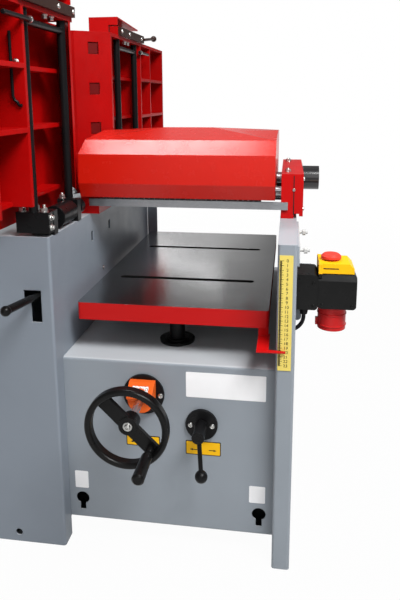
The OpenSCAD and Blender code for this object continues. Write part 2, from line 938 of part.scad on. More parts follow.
module finger_profile() {
    difference() {
        union() {
            translate([finger_y, finger_z]) circle(finger_rod_r + finger_ring);
            polygon([[finger_y - finger_rod_r, finger_z], [finger_y + finger_rod_r + finger_ring, finger_z],
                     [finger_y + finger_tip_y + finger_tip_w, finger_z - finger_tip_z + finger_tip_w],
                     [finger_y + finger_tip_y, finger_z - finger_tip_z]]);
        }
        translate([finger_y, finger_z]) circle(finger_rod_r + run_gap);
    }
}

module kickback_fingers() color(brass) {
    pitch = work_w / finger_count;
    for (i = [0 : finger_count - 1])
        along_x(work_x0 + i * pitch, work_x0 + i * pitch + finger_t) finger_profile();
}

module chip_breaker() color(iron)
    block([left_cheek_x1, breaker_y0, cut_z + free_gap],
          [right_cheek_x0, breaker_y0 + breaker_w, cut_z + free_gap + breaker_h]);

module cut_limiter() color(steel)
    block([x_wall, -cheek_d / 2 - limiter_t, cut_z - limiter_drop],
          [right_cheek_x0 + limiter_lap, -cheek_d / 2, cut_z - limiter_drop + limiter_h]);

// Front, brow, slope, ridge and tail of the hood, drawn in by a wall thickness
module hood_profile(t, low) {
    polygon([[hood_front + hood_toe + t, hood_z - low], [hood_front + t, hood_z + hood_crease],
             [hood_front + hood_brow_in + t, hood_z + hood_brow - t / 2],
             [hood_front + hood_slope_in + t / 2, hood_z + hood_slope - t],
             [0, hood_z + hood_ridge - t],
             [hood_rear - t, hood_z + hood_tail - t], [hood_rear - t, hood_z - low]]);
}

// The shallow hipped crown on the top of the hood
module hood_crown_shape(t) {
    x0 = hood_x0 + hood_w * hood_crown_shares[0];
    x1 = hood_x0 + hood_w * hood_crown_shares[1];
    low = hood_z + hood_crease;
    hull() {
        block([hood_x0 + t, hood_front + hood_slope_in, low],
              [hood_x1 - t, hood_front + hood_slope_in + hood_t, hood_z + hood_slope - t]);
        block([x0, -hood_t, low], [x1, hood_t, hood_z + hood_ridge + hood_crown - t]);
        block([hood_x0 + t, hood_rear - hood_t - t, low],
              [hood_x1 - t, hood_rear - t, hood_z + hood_tail - t]);
    }
}

module hood() color(paint_red) {
    difference() {
        union() {
            along_x(hood_x0, hood_x1) hood_profile(0, 0);
            hood_crown_shape(0);
            rod_y(hood_rear - hood_t, hood_rear + port_l, port_x, hood_z + port_z, port_r);
        }
        along_x(hood_x0 + hood_t, hood_x1 - hood_t) hood_profile(hood_t, over);
        hood_crown_shape(hood_t);
        rod_y(hood_rear - 2 * hood_t, hood_rear + port_l + over, port_x, hood_z + port_z, port_r - port_wall);
        block([hood_x0 - over, -cheek_d / 2 - notch_gap, hood_z - over],
              [hood_x0 + 2 * hood_t, cheek_d / 2 + notch_gap, cheek_top + hood_cheek_gap]);
        hood_notch(0, axis_z, shaft_r);
        for (y = [-roller_y, roller_y]) hood_notch(y, roller_z, journal_r);
        hood_notch(finger_y, finger_z, finger_rod_r);
    }
    for (x = [hood_x0 + knuckle_inset, hood_x1 - knuckle_inset - knuckle_w]) difference() {
        union() {
            rod_x(x, x + knuckle_w, hood_pin_y, hood_pin_z, knuckle_r);
            block([x, hood_rear - hood_t, hood_pin_z], [x + knuckle_w, hood_pin_y, hood_z + knuckle_r]);
        }
        rod_x(x - over, x + knuckle_w + over, hood_pin_y, hood_pin_z, hood_pin_r + run_gap);
    }
}

// Relief in the hood's right end for a shaft below it
module hood_notch(y, z, r) {
    block([hood_x1 - 2 * hood_t, y - r - notch_gap, hood_z - over],
          [hood_x1 + over, y + r + notch_gap, z + r + notch_gap]);
}

module hood_rod() color(steel)
    rod_x(left_cheek_x0, right_cheek_x0 + lug_w, hood_pin_y, hood_pin_z, hood_pin_r);

module cutter_slots() {
    for (i = [0 : knife_count - 1])
        translate([0, 0, axis_z]) rotate([i * 360 / knife_count, 0, 0]) children();
}

slot_low = 34;
slot_back = 11;
wedge_high = 48;
knife_low = 36;

module cutterblock() color(steel) {
    difference() {
        rod_x(work_x0, work_x1, 0, axis_z, block_r);
        cutter_slots() {
            block([work_x0 - over, -slot_back, slot_low], [work_x1 + over, knife_t, block_r + over]);
            rod_x(work_x0 - over, work_x1 + over, -slot_back, block_r, slot_back - knife_t);
        }
    }
    rod_x(guard_x0 + guard_t + free_gap, work_x0 + over, 0, axis_z, shaft_r);
    rod_x(work_x1 - over, right_cheek_x1, 0, axis_z, shaft_r);
}

module knives() color(steel) cutter_slots()
    block([work_x0, 0, knife_low], [work_x1, knife_t, cut_r]);

module knife_wedges() color(iron) cutter_slots()
    block([work_x0, -slot_back, slot_low], [work_x1, 0, wedge_high]);

module cutter_pulley() color(iron) difference() {
    rod_x(pulley_x0, pulley_x1, 0, axis_z, pulley_r);
    rod_x(pulley_x0 - over, pulley_x1 + over, 0, axis_z, shaft_r);
    belt_grooves(axis_z, pulley_r);
}

module belt_grooves(z, r) {
    for (i = [0, 1]) {
        x0 = pulley_x0 + pulley_w * (1 + 2 * i) / 4 - belt_w / 2 - chain_gap;
        difference() {
            rod_x(x0, x0 + belt_w + 2 * chain_gap, 0, z, r + over);
            rod_x(x0 - over, x0 + belt_w + 2 * chain_gap + over, 0, z, r - belt_t);
        }
    }
}

module motor_pulley() color(iron) {
    difference() {
        rod_x(pulley_x0, pulley_x1, 0, motor_z, motor_pulley_r);
        belt_grooves(motor_z, motor_pulley_r);
    }
    rod_x(motor_x1 - motor_l / 3, pulley_x0 + over, 0, motor_z, motor_shaft_r);
}

// A feed roller with its journals and sprocket
module feed_roller(y, i) {
    x0 = sprocket_x + i * sprocket_pitch;
    rod_x(x0, work_x0 + over, y, roller_z, journal_r);
    rod_x(work_x1 - over, right_cheek_x0 + bearing_w, y, roller_z, journal_r);
    rod_x(x0, x0 + sprocket_t, y, roller_z, sprocket_r);
}

module infeed_roller() color(steel) {
    difference() {
        rod_x(work_x0, work_x1, -roller_y, roller_z, roller_r);
        for (i = [0 : flute_count - 1])
            translate([0, -roller_y, roller_z]) rotate([i * 360 / flute_count, 0, 0])
                block([work_x0 - over, -flute_w / 2, roller_r - flute_d],
                      [work_x1 + over, flute_w / 2, roller_r + over]);
    }
    feed_roller(-roller_y, 0);
}

module outfeed_roller() color(black) {
    rod_x(work_x0, work_x1, roller_y, roller_z, roller_r);
    feed_roller(roller_y, 1);
}

module thickness_table() color(iron) difference() {
    union() {
        translate([0, 0, table_z - table_edge]) linear_extrude(table_edge) difference() {
            round_rect([table_x0, -table_l / 2], [table_x1, table_l / 2], table_corner_r);
            translate([table_x0 + table_wall, -table_l / 2 + table_wall])
                square([table_w - 2 * table_wall, table_l - 2 * table_wall]);
        }
        translate([0, 0, table_z - table_top_t]) linear_extrude(table_top_t)
            round_rect([table_x0, -table_l / 2], [table_x1, table_l / 2], table_corner_r);
        for (y = table_rib_y) {
            block([table_x0 + over, y - rib_t / 2, table_z - table_edge],
                  [table_x1 - over, y + rib_t / 2, table_z - table_top_t + over]);
            rod_z(table_z - table_edge - boss_drop, table_z - table_top_t + over, mid_x, y, boss_r);
        }
        block([mid_x - rib_t / 2, -table_l / 2 + over, table_z - table_edge],
              [mid_x + rib_t / 2, table_l / 2 - over, table_z - table_top_t + over]);
    }
    for (s = [-1, 1]) translate([0, 0, table_z - table_top_t - over]) linear_extrude(table_top_t + 2 * over)
        round_rect([table_x0 + table_slot_end, s * table_slot_y - slot_w / 2],
                   [table_x1 - table_slot_end, s * table_slot_y + slot_w / 2], slot_w / 2 - seat_gap / 2);
    for (y = [-column_y, column_y])
        rod_z(table_z - table_edge - boss_drop - over, table_z - table_top_t, mid_x, y, column_r + run_gap);
    rod_z(table_z - table_edge - boss_drop - over, table_z - table_top_t, mid_x, 0, screw_r + run_gap);
}

module guide_columns() color(black)
    for (y = [-column_y, column_y]) rod_z(column_low, table_z - table_top_t, mid_x, y, column_r);

module lifting_screw() color(steel)
    rod_z(screw_low, table_z - table_top_t, mid_x, 0, screw_r);

module column_flanges() color(black) for (y = [-column_y, column_y]) difference() {
    union() {
        rod_z(cabinet_h, cabinet_h + flange_t, mid_x, y, flange_r);
        rod_z(cabinet_h - bush_l, cabinet_h + flange_t + flange_collar, mid_x, y, bush_r);
    }
    rod_z(cabinet_h - bush_l - over, cabinet_h + flange_t + flange_collar + over,
          mid_x, y, column_r + run_gap);
}

module lift_wheel() color(brass) difference() {
    union() {
        rod_z(wheel_z - lift_t / 2, wheel_z + lift_t / 2, mid_x, 0, lift_r);
        rod_z(wheel_z, wheel_z + lift_hub_l, mid_x, 0, lift_hub_r);
    }
    rod_z(wheel_z - lift_t, wheel_z + lift_hub_l + over, mid_x, 0, screw_r + run_gap);
}

// Bearing sleeve for the worm wheel and rear bearing for the handwheel shaft, under the cabinet top
module lift_bearing() color(iron) {
    top = cabinet_h - sheet_t;
    difference() {
        rod_z(wheel_z + sleeve_z, top, mid_x, 0, lift_hub_r + sleeve_wall);
        rod_z(wheel_z + sleeve_z - over, wheel_z + lift_hub_l + seat_gap, mid_x, 0, lift_hub_r + run_gap);
        rod_z(wheel_z, top + over, mid_x, 0, screw_r + free_gap);
    }
    difference() {
        block([wheel_x - bracket_w / 2, bracket_y, wheel_z - bracket_drop],
              [wheel_x + bracket_w / 2, bracket_y + bracket_t, top]);
        rod_y(bracket_y - over, bracket_y + bracket_t + over, wheel_x, wheel_z, wheel_shaft_r + run_gap);
    }
}

module handwheel() color(black) {
    difference() {
        union() {
            translate([wheel_x, wheel_y, wheel_z]) rotate([90, 0, 0])
                rotate_extrude() round_rect([wheel_r - rim_t / 2, -rim_w / 2],
                                            [wheel_r + rim_t / 2, rim_w / 2], rim_corner_r);
            rod_y(spoke_y - spoke_t / 2 - hub_front, wheel_y + hub_l, wheel_x, wheel_z, hub_r);
            translate([wheel_x, spoke_y, wheel_z]) rotate([0, spoke_angle, 0])
                block([-wheel_r, -spoke_t / 2, -spoke_w / 2], [wheel_r, spoke_t / 2, spoke_w / 2]);
        }
        rod_y(wheel_y - hub_l, wheel_y + 2 * hub_l, wheel_x, wheel_z, wheel_shaft_r);
    }
    translate([wheel_x, spoke_y, wheel_z]) rotate([0, spoke_angle, 0])
        rod_y(-spoke_t / 2 - crank_l + crank_tip_r, 0, crank_r, 0, crank_pin_r);
}

module handwheel_shaft() color(steel) {
    rod_y(spoke_y - spoke_t / 2 - hub_front, bracket_y + bracket_t, wheel_x, wheel_z, wheel_shaft_r);
    rod_y(-worm_l / 2, worm_l / 2, wheel_x, wheel_z, worm_r);
}

module crank_grip() color(black)
    translate([wheel_x, spoke_y - spoke_t / 2 - free_gap, wheel_z]) rotate([0, spoke_angle, 0])
        translate([crank_r, 0, 0]) rotate([90, 0, 0]) rotate_extrude() crank_half();

// Half section of the crank grip: a slim neck inside the rim, then a thick barrel with a blunt end
module crank_half() {
    bore = crank_pin_r + run_gap;
    difference() {
        polygon([[0, 0], [crank_neck_r, 0], [crank_neck_r, crank_step], [crank_tip_r - over, crank_swell],
                 [crank_tip_r, crank_l - crank_round], [crank_tip_r - crank_round, crank_l], [0, crank_l]]);
        translate([0, -over]) square([bore, crank_l - crank_tip_r / 2 + over]);
    }
}

module counter_flange() color(black) difference() {
    rod_y(panel_y - counter_flange_t, panel_y, wheel_x, wheel_z, counter_flange_r);
    rod_y(panel_y - counter_flange_t - over, panel_y + over, wheel_x, wheel_z, wheel_shaft_r + run_gap);
}

// Counter: a drum round the shaft with a sloped window head above it
module depth_counter() color(orange) {
    y1 = panel_y - counter_flange_t;
    y0 = y1 - counter_t;
    top = wheel_z + counter_up;
    difference() {
        union() {
            rod_y(y1 - counter_low_t, y1, wheel_x, wheel_z, counter_w / 2);
            along_x(wheel_x - counter_w / 2, wheel_x + counter_w / 2)
                polygon([[y1, wheel_z], [y1, top], [y1 - counter_back, top], [y0, top - counter_slope],
                         [y0, wheel_z + counter_slope / 2], [y1 - counter_low_t, wheel_z]]);
        }
        rod_y(y0 - over, y1 + over, wheel_x, wheel_z, wheel_shaft_r + seat_gap);
    }
}

module clamp_flange() color(black) difference() {
    rod_y(panel_y - clamp_flange_t, panel_y, clamp_x, clamp_z, clamp_flange_r);
    rod_y(panel_y - clamp_flange_t - over, panel_y + over, clamp_x, clamp_z, clamp_stem_r + run_gap);
}

module clamp_lever() color(black) {
    y1 = panel_y - clamp_flange_t - seat_gap;
    hub_end = y1 - clamp_hub_l;
    ball = [clamp_x + ball_side, hub_end - ball_out, clamp_z - ball_drop];
    rod_y(hub_end, y1, clamp_x, clamp_z, clamp_hub_r);
    rod_y(y1 - over, panel_y + clamp_stem_in, clamp_x, clamp_z, clamp_stem_r);
    bar([clamp_x, hub_end + clamp_hub_r, clamp_z], ball, lever_r, lever_r);
    translate(ball) sphere(ball_r);
}

module feed_lever() color(black) {
    difference() {
        union() {
            rod_x(feed_pivot[0] - feed_hub_w / 2, feed_pivot[0] + feed_hub_w / 2,
                  feed_pivot[1], feed_pivot[2], feed_hub_r);
            bar(feed_pivot, feed_grip, feed_rod_r, feed_rod_r);
        }
        rod_x(feed_pivot[0] - feed_hub_w, feed_pivot[0] + feed_hub_w,
              feed_pivot[1], feed_pivot[2], feed_pin_r + run_gap);
    }
    bar(feed_grip, feed_tip, feed_grip_r, feed_grip_r + over);
    translate(feed_tip) sphere(feed_tip_r);
}

module depth_scale() color(yellow)
    block([x_post + scale_inset, y_f - scale_t, scale_zero - scale_low],
          [x_post + scale_inset + scale_w, y_f, scale_zero + scale_high]);

// Pointer: a flat arm from under the table's front edge, with its nose over the scale
module depth_pointer() color(paint_red) {
    y1 = -table_l / 2;
    x1 = table_x1 + pointer_side;
    tip_x = x_post + post_w / 2;
    near = y_f - scale_t - pointer_gap;
    front = near - pointer_nose;
    block([x1 - pointer_w, y1 + pointer_seat, pointer_z - pointer_t],
          [table_x1, y1 + table_wall, table_z - table_edge]);
    translate([0, 0, pointer_z - pointer_t]) linear_extrude(pointer_t)
        polygon([[x1 - pointer_w, y1 + table_wall], [x1 - pointer_w, front - pointer_slant], [tip_x, front],
                 [tip_x, near], [x1, near + pointer_slant], [x1, y1 + table_wall]]);
}

// One cast bracket of the table hinges
module hinge_bracket(y0, w, left) {
    difference() {
        block([hinge_x - left, y0, body_h], [hinge_x + bracket_lap, y0 + w, body_h + hinge_bracket_h]);
        rod_y(y0 - over, y0 + w + over, hinge_x, hinge_z, pin_r + run_gap);
    }
}

module hinge_brackets() color(black) for (out = [true, false]) on_side(out) {
    hinge_bracket(bracket_outer_y, bracket_inner_w, bracket_inner_x);
    hinge_bracket(bracket_inner_y, bracket_inner_w, bracket_inner_x);
}

// The slanted nose wall of a planing table, in X and Y
module nose_profile(slope) {
    polygon([[surf_x + plane_t - over, nose_y], [plane_in, nose_y + slope],
             [plane_in, nose_y + slope + nose_wall],
             [surf_x + plane_t - over, nose_y + nose_wall + nose_wall]]);
}

// The comb lip on the nose
module comb_lip() {
    difference() {
        block([surf_x, nose_y - lip_l, plane_low], [surf_x + lip_t, nose_y + over, plane_top]);
        for (z = [plane_low + lip_pitch / 2 : lip_pitch : plane_top - lip_pitch / 2])
            block([surf_x - over, nose_y - lip_l - over, z - lip_gap_w / 2],
                  [surf_x + lip_t + over, nose_y - lip_base, z + lip_gap_w / 2]);
    }
}

module planing_table(slope) {
    difference() {
        union() {
            block([surf_x, nose_y, plane_low], [surf_x + plane_t, plane_end, plane_top]);
            translate([0, 0, rib_low]) linear_extrude(plane_top - rib_low) nose_profile(slope);
            block([surf_x, nose_y + slope, plane_top - rib_t], [plane_in, plane_end, plane_top]);
            block([surf_x, nose_y + slope, rib_low],
                  [plane_in - arm_r - rib_low_depth / 2, plane_end, rib_low + rib_t]);
            block([surf_x, plane_end - rib_t, rib_low], [plane_in, plane_end, plane_top]);
            for (z = rib_rise) {
                block([surf_x, nose_y + slope, rib_low + z],
                      [surf_x + rib_low_depth, recess_end + over, rib_low + z + rib_t]);
                block([surf_x, recess_end, rib_low + z], [plane_in, plane_end - over, rib_low + z + rib_t]);
            }
            block([plane_in - lock_pin_l - lock_boss, lock_y - lock_boss, plane_top - rib_t],
                  [plane_in, lock_y + lock_boss, lock_z + lock_boss]);
            for (y = rib_y) block([surf_x, y, rib_low], [plane_in, y + rib_t, plane_top - over]);
        }
        for (s = nose_pocket_shares)
            translate([surf_x + nose_pocket_in, nose_y, plane_low + s * (plane_top - plane_low)])
                block([0, -over, -nose_pocket_h / 2], [nose_pocket_w, slope, nose_pocket_h / 2]);
        rod_x(plane_in - lock_pin_l, plane_in + over, lock_y, lock_z, lock_pin_r + run_gap);
        block([left_cheek_x0 - cheek_relief, nose_y, plane_low - over],
              [plane_in + over, cheek_d / 2 + cheek_relief, cheek_top + cheek_relief]);
        for (y = arm_y) rod_z(plane_top - rib_t - over, lock_z + lock_boss + over, arm_x, y, arm_r);
    }
    comb_lip();
}

// Sheet box on the operator edge that covers the lock
module lock_box() {
    x0 = surf_x + lock_box_in;
    y1 = lock_box_y + lock_box_l;
    z1 = plane_top + lock_box_h;
    block([x0, lock_box_y, plane_top], [x0 + lock_box_w, lock_box_y + lock_sheet, z1]);
    block([x0, lock_box_y, z1 - lock_arm_h], [x0 + lock_arm_w, lock_box_y + lock_sheet, z1]);
    block([x0, lock_box_y, plane_top], [x0 + lock_sheet, y1, z1]);
    translate([0, 0, z1 - lock_sheet]) linear_extrude(lock_sheet)
        polygon([[x0, lock_box_y], [x0 + lock_arm_w, lock_box_y], [x0 + lock_box_w, y1], [x0, y1]]);
}

// Carrier arms with their collars, cross bar, hinge shaft and spring barrel
module table_arms() {
    for (y = arm_y) rod_z(hinge_z + arm_low, plane_top + arm_head, arm_x, y, arm_r);
    rod_y(arm_y[0] - collar_w / 2, arm_y[0] + collar_w / 2, hinge_x, hinge_z, collar_r);
    block([hinge_x - foot_x, y_b - foot_w, hinge_z - foot_drop],
          [hinge_x + collar_r, y_b, hinge_z + foot_rise]);
    rod_y(arm_y[0], arm_y[1], arm_x, plane_top - cross_drop, cross_r);
    rod_y(pin_y0, y_b - foot_w / 2, hinge_x, hinge_z, pin_r);
    rod_y(barrel_y0, barrel_y1, hinge_x, hinge_z, barrel_r);
}

// Flat lock lever with a round neck and knob
module table_lock() {
    x0 = plane_in + seat_gap;
    y1 = lock_y + lock_l;
    block([x0, lock_y - lock_h / 2, lock_z - lock_h / 2], [x0 + lock_t, y1, lock_z + lock_h / 2]);
    knob = [x0 + lock_t, y1 + lock_neck_l, lock_z + lock_neck_rise];
    bar([x0 + lock_t, y1 - lock_neck_r, lock_z], knob, lock_neck_r, lock_neck_r);
    translate(knob) sphere(lock_knob_r);
    rod_x(plane_in - lock_pin_l + seat_gap, x0 + over, lock_y, lock_z, lock_pin_r);
}

module outfeed_table() color(paint_red) on_side(true) planing_table(nose_slopes[1]);
module outfeed_arms() color(black) on_side(true) table_arms();
module outfeed_lock() color(brown) on_side(true) table_lock();
module outfeed_lock_box() color(paint_red) on_side(true) lock_box();
module infeed_lock_box() color(paint_red) on_side(false) lock_box();
module infeed_table() color(paint_red) on_side(false) planing_table(nose_slopes[0]);
module infeed_arms() color(black) on_side(false) table_arms();
module infeed_lock() color(brown) on_side(false) table_lock();

module rounded_box(x0, x1, z0, z1) {
    along_y(switch_y - switch_d / 2, switch_y + switch_d / 2) round_rect([x0, z0], [x1, z1], switch_corner_r);
}

module junction_box() color(black) {
    difference() {
        union() {
            block([junction_x0, switch_y - switch_d / 2, junction_z],
                  [switch_x0 - switch_corner_r, switch_y + switch_d / 2, junction_z + junction_h]);
            rounded_box(junction_x0, switch_x0, junction_z, junction_z + junction_h);
            translate([gland_x, switch_y, junction_z - gland_l])
                cylinder(h = gland_l + over, r1 = gland_tip_r, r2 = gland_r);
        }
        rod_z(junction_z - gland_l - over, junction_z, gland_x, switch_y, cable_r + seat_gap);
    }
}

module switch_box() color(black) {
    difference() {
        rounded_box(switch_x0, switch_x0 + switch_w, switch_z, switch_z + switch_h);
        along_x(switch_x0 - over, switch_x0 + switch_w + over) {
            y0 = switch_y - switch_d / 2;
            z1 = switch_z + switch_h;
            polygon([[y0 - over, z1 - switch_chamfer - over], [y0 + switch_chamfer / 2 + over, z1 + over],
                     [y0 - over, z1 + over]]);
        }
        rod_z(switch_z + switch_h - start_stem_l, switch_z + switch_h + over,
              start_x(), switch_y, start_r + run_gap);
    }
    for (y = [switch_y - switch_d / 2, switch_y + switch_d / 2 - lid_lap + seat_gap]) difference() {
        block([switch_x0, y, switch_z + switch_h - switch_corner_r],
              [switch_x0 + lid_ear, y + lid_lap - seat_gap, lid_z() + lid_h]);
        rod_y(y - over, y + lid_lap + over, lid_pin()[0], lid_pin()[1], lid_pin_r + run_gap);
    }
}

function start_x() = switch_x0 + start_share * switch_w;
function estop_x() = switch_x0 + estop_share * switch_w;
function lid_z() = switch_z + switch_h + seat_gap;

// Flap lid, sloped at the operator end, hollow below
module lid_profile(t, low) {
    x0 = switch_x0 + free_gap + t;
    x1 = switch_x0 + switch_w - lid_lap - t;
    top = lid_z() + lid_h - t;
    polygon([[x0, lid_z() - low], [x0, top], [x1 - lid_slope, top],
             [x1, top - lid_slope], [x1, lid_z() - low]]);
}

function lid_pin() = [switch_x0 + free_gap + lid_pivot, lid_z() + lid_h - lid_pivot];

module estop_lid() color(yellow) {
    lid_shell();
    front = switch_y - switch_d / 2;
    rear = switch_y + switch_d / 2;
    rod_y(front, front + lid_lap + over, lid_pin()[0], lid_pin()[1], lid_pin_r);
    rod_y(rear - lid_lap - over, rear, lid_pin()[0], lid_pin()[1], lid_pin_r);
}

module lid_shell() difference() {
    half = switch_d / 2 - lid_lap;
    along_y(switch_y - half, switch_y + half) lid_profile(0, 0);
    along_y(switch_y - half + lid_t, switch_y + half - lid_t) lid_profile(lid_t, over);
    rod_z(lid_z(), lid_z() + lid_h + over, estop_x(), switch_y, estop_stem_r + run_gap);
}

module estop_button() color(paint_red) {
    z0 = lid_z() + lid_h + estop_gap;
    rod_z(z0, z0 + estop_h / 2, estop_x(), switch_y, estop_r);
    translate([estop_x(), switch_y, z0 + estop_h / 2])
        cylinder(h = estop_h / 2, r1 = estop_r, r2 = estop_r * 3 / 4);
    rod_z(lid_z() + lid_h / 2, z0 + over, estop_x(), switch_y, estop_stem_r);
}

module start_button() color("green") {
    top = switch_z + switch_h;
    rod_z(top - start_stem_l + estop_gap, top + start_h, start_x(), switch_y, start_r);
}

module power_inlet() color(paint_red) {
    x = switch_x0 + inlet_in;
    z0 = switch_z - inlet_l;
    difference() {
        union() {
            rod_z(switch_z - inlet_flange, switch_z, x, switch_y, inlet_r + inlet_flange_r);
            rod_z(z0, switch_z - over, x, switch_y, inlet_r);
            block([x - inlet_r - inlet_wall, switch_y - inlet_tab_w / 2, z0 + inlet_wall],
                  [x - inlet_r + inlet_wall, switch_y + inlet_tab_w / 2, z0 + inlet_wall + inlet_tab_l]);
        }
        rod_z(z0 - over, z0 + inlet_depth, x, switch_y, inlet_r - inlet_wall);
    }
    for (i = [0 : inlet_pins - 1])
        translate([x, switch_y, 0]) rotate([0, 0, i * 360 / inlet_pins])
            rod_z(z0 + inlet_depth - inlet_pin_l, z0 + inlet_depth + over, inlet_pin_pcd / 2, 0, inlet_pin_r);
}

// The short lead from the gland into the side frame: straight down, then one bend that ends inside
function cable_point(a) = [cable_x + cable_bend * cos(a), cable_z - cable_bend * sin(a)];
cable_path = concat([[gland_x, junction_z, 0]],
                    [for (i = [0 : cable_steps])
                        let (a = i * cable_turn / cable_steps, p = cable_point(a)) [p[0], p[1], a]]);

// Rings of the lead: each is square to the path, which lies in the plane of X and Z
cable_rings = [for (p = cable_path, k = [0 : cable_sides - 1])
    let (t = k * 360 / cable_sides, u = cable_r * cos(t))
    [p[0] + u * cos(p[2]), switch_y + cable_r * sin(t), p[1] - u * sin(p[2])]];
cable_count = len(cable_path);
cable_faces = concat(
    [[for (k = [0 : cable_sides - 1]) k]],
    [[for (k = [0 : cable_sides - 1]) cable_sides * cable_count - 1 - k]],
    [for (i = [0 : cable_count - 2], k = [0 : cable_sides - 1])
        let (n = (k + 1) % cable_sides, a = i * cable_sides, b = a + cable_sides) [a + n, a + k, b + k]],
    [for (i = [0 : cable_count - 2], k = [0 : cable_sides - 1])
        let (n = (k + 1) % cable_sides, a = i * cable_sides, b = a + cable_sides) [a + n, b + k, b + n]]);

module switch_cable() color(black) polyhedron(points = cable_rings, faces = cable_faces);

drive_housing();
drive_cover();
cabinet();
side_frame();
right_cheek();
right_cheek_cover();
left_cheek();
bearing_cap();
cutter_bearings();
belt_guard();
motor();
drive_belts();
feed_gearbox();
feed_chains();
kickback_rod();
chip_breaker();
cut_limiter();
hood_rod();
column_flanges();
lift_bearing();
counter_flange();
depth_counter();
clamp_flange();
depth_scale();
hinge_brackets();
junction_box();
switch_box();
power_inlet();
switch_cable();
cutterblock();
knives();
knife_wedges();
cutter_pulley();
motor_pulley();
feed_sprockets();
infeed_roller();
outfeed_roller();
kickback_fingers();
hood();
thickness_table();
guide_columns();
lifting_screw();
depth_pointer();
lift_wheel();
handwheel();
handwheel_shaft();
crank_grip();
clamp_lever();
feed_lever();
estop_lid();
estop_button();
start_button();
outfeed_table();
outfeed_arms();
outfeed_lock();
outfeed_lock_box();
infeed_lock_box();
infeed_table();
infeed_arms();
infeed_lock();
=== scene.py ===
"""Combination planer thicknesser: materials, small fittings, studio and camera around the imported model."""
import math

import bmesh
import bpy
from mathutils import Matrix, Vector


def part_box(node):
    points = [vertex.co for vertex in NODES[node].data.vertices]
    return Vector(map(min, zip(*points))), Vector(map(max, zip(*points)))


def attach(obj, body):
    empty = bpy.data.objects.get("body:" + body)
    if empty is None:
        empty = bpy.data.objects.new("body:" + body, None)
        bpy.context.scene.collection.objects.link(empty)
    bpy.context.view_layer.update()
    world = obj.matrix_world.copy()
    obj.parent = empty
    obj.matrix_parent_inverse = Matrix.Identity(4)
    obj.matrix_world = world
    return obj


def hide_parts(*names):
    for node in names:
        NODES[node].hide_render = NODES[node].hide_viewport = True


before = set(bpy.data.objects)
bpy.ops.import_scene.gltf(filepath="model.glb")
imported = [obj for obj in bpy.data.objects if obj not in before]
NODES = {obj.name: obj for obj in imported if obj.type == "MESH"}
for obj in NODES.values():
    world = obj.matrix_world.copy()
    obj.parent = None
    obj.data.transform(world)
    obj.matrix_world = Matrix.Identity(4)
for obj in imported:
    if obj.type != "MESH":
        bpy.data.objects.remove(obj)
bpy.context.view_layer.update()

MM = 0.001
X, Y, Z = Vector((1, 0, 0)), Vector((0, 1, 0)), Vector((0, 0, 1))
# The side of the machine, along Y, on which each planing table stands
SIDES = {"outfeed": -1, "infeed": 1}


def mm(*v):
    """A point given in millimetres, in metres."""
    return Vector(v) * MM


# Camera, solved from the depth scale and the edges of the cabinet
CAMERA_AT = mm(367.5, -1613.1, 1054.7)
CAMERA_RIGHT = Vector((0.989549, 0.144146, -0.003776))
CAMERA_AHEAD = Vector((-0.142216, 0.971305, -0.190636))
CAMERA_SENSOR = 36.0
CAMERA_LENS = 35.113
CAMERA_SHIFT = (-0.00562, -0.14689)
CAMERA_CLIP = 60.0


def add_camera():
    """The photo's camera."""
    data = bpy.data.cameras.new("camera")
    data.sensor_width = CAMERA_SENSOR
    data.lens = CAMERA_LENS
    data.shift_x, data.shift_y = CAMERA_SHIFT
    data.clip_end = CAMERA_CLIP
    camera = bpy.data.objects.new("camera", data)
    up = CAMERA_RIGHT.cross(CAMERA_AHEAD)
    turn = Matrix((CAMERA_RIGHT, up, -CAMERA_AHEAD)).transposed()
    camera.matrix_world = Matrix.Translation(CAMERA_AT) @ turn.to_4x4()
    bpy.context.scene.collection.objects.link(camera)
    bpy.context.scene.camera = camera


# Switch lead: straight down out of the gland, then one bend through the wall of the side frame
LEAD_TOP = (409.0, 600.0)
LEAD_Y = -337.0
LEAD_STRAIGHT = 30.0
LEAD_BEND = 36.0
LEAD_TURN = 73.9
LEAD_R = 4.5
LEAD_STRAIGHT_STEPS = 8
LEAD_BEND_STEPS = 22
LEAD_SIDES = 20


def lead_route():
    """Points along the middle of the lead, in metres."""
    x, z = LEAD_TOP
    points = [mm(x, LEAD_Y, z - LEAD_STRAIGHT * i / LEAD_STRAIGHT_STEPS) for i in range(LEAD_STRAIGHT_STEPS)]
    for i in range(LEAD_BEND_STEPS + 1):
        a = math.radians(LEAD_TURN) * i / LEAD_BEND_STEPS
        across, down = LEAD_BEND * math.cos(a), LEAD_BEND * math.sin(a)
        points.append(mm(x - LEAD_BEND + across, LEAD_Y, z - LEAD_STRAIGHT - down))
    return points


def add_lead():
    """The short lead between the switch and the side frame."""
    route = lead_route()
    bm = bmesh.new()
    sweep(bm, route, LEAD_R, sides=LEAD_SIDES)
    lead = finish_piece("switch_lead", bm, "rubber", "frame")
    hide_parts("switch_cable")


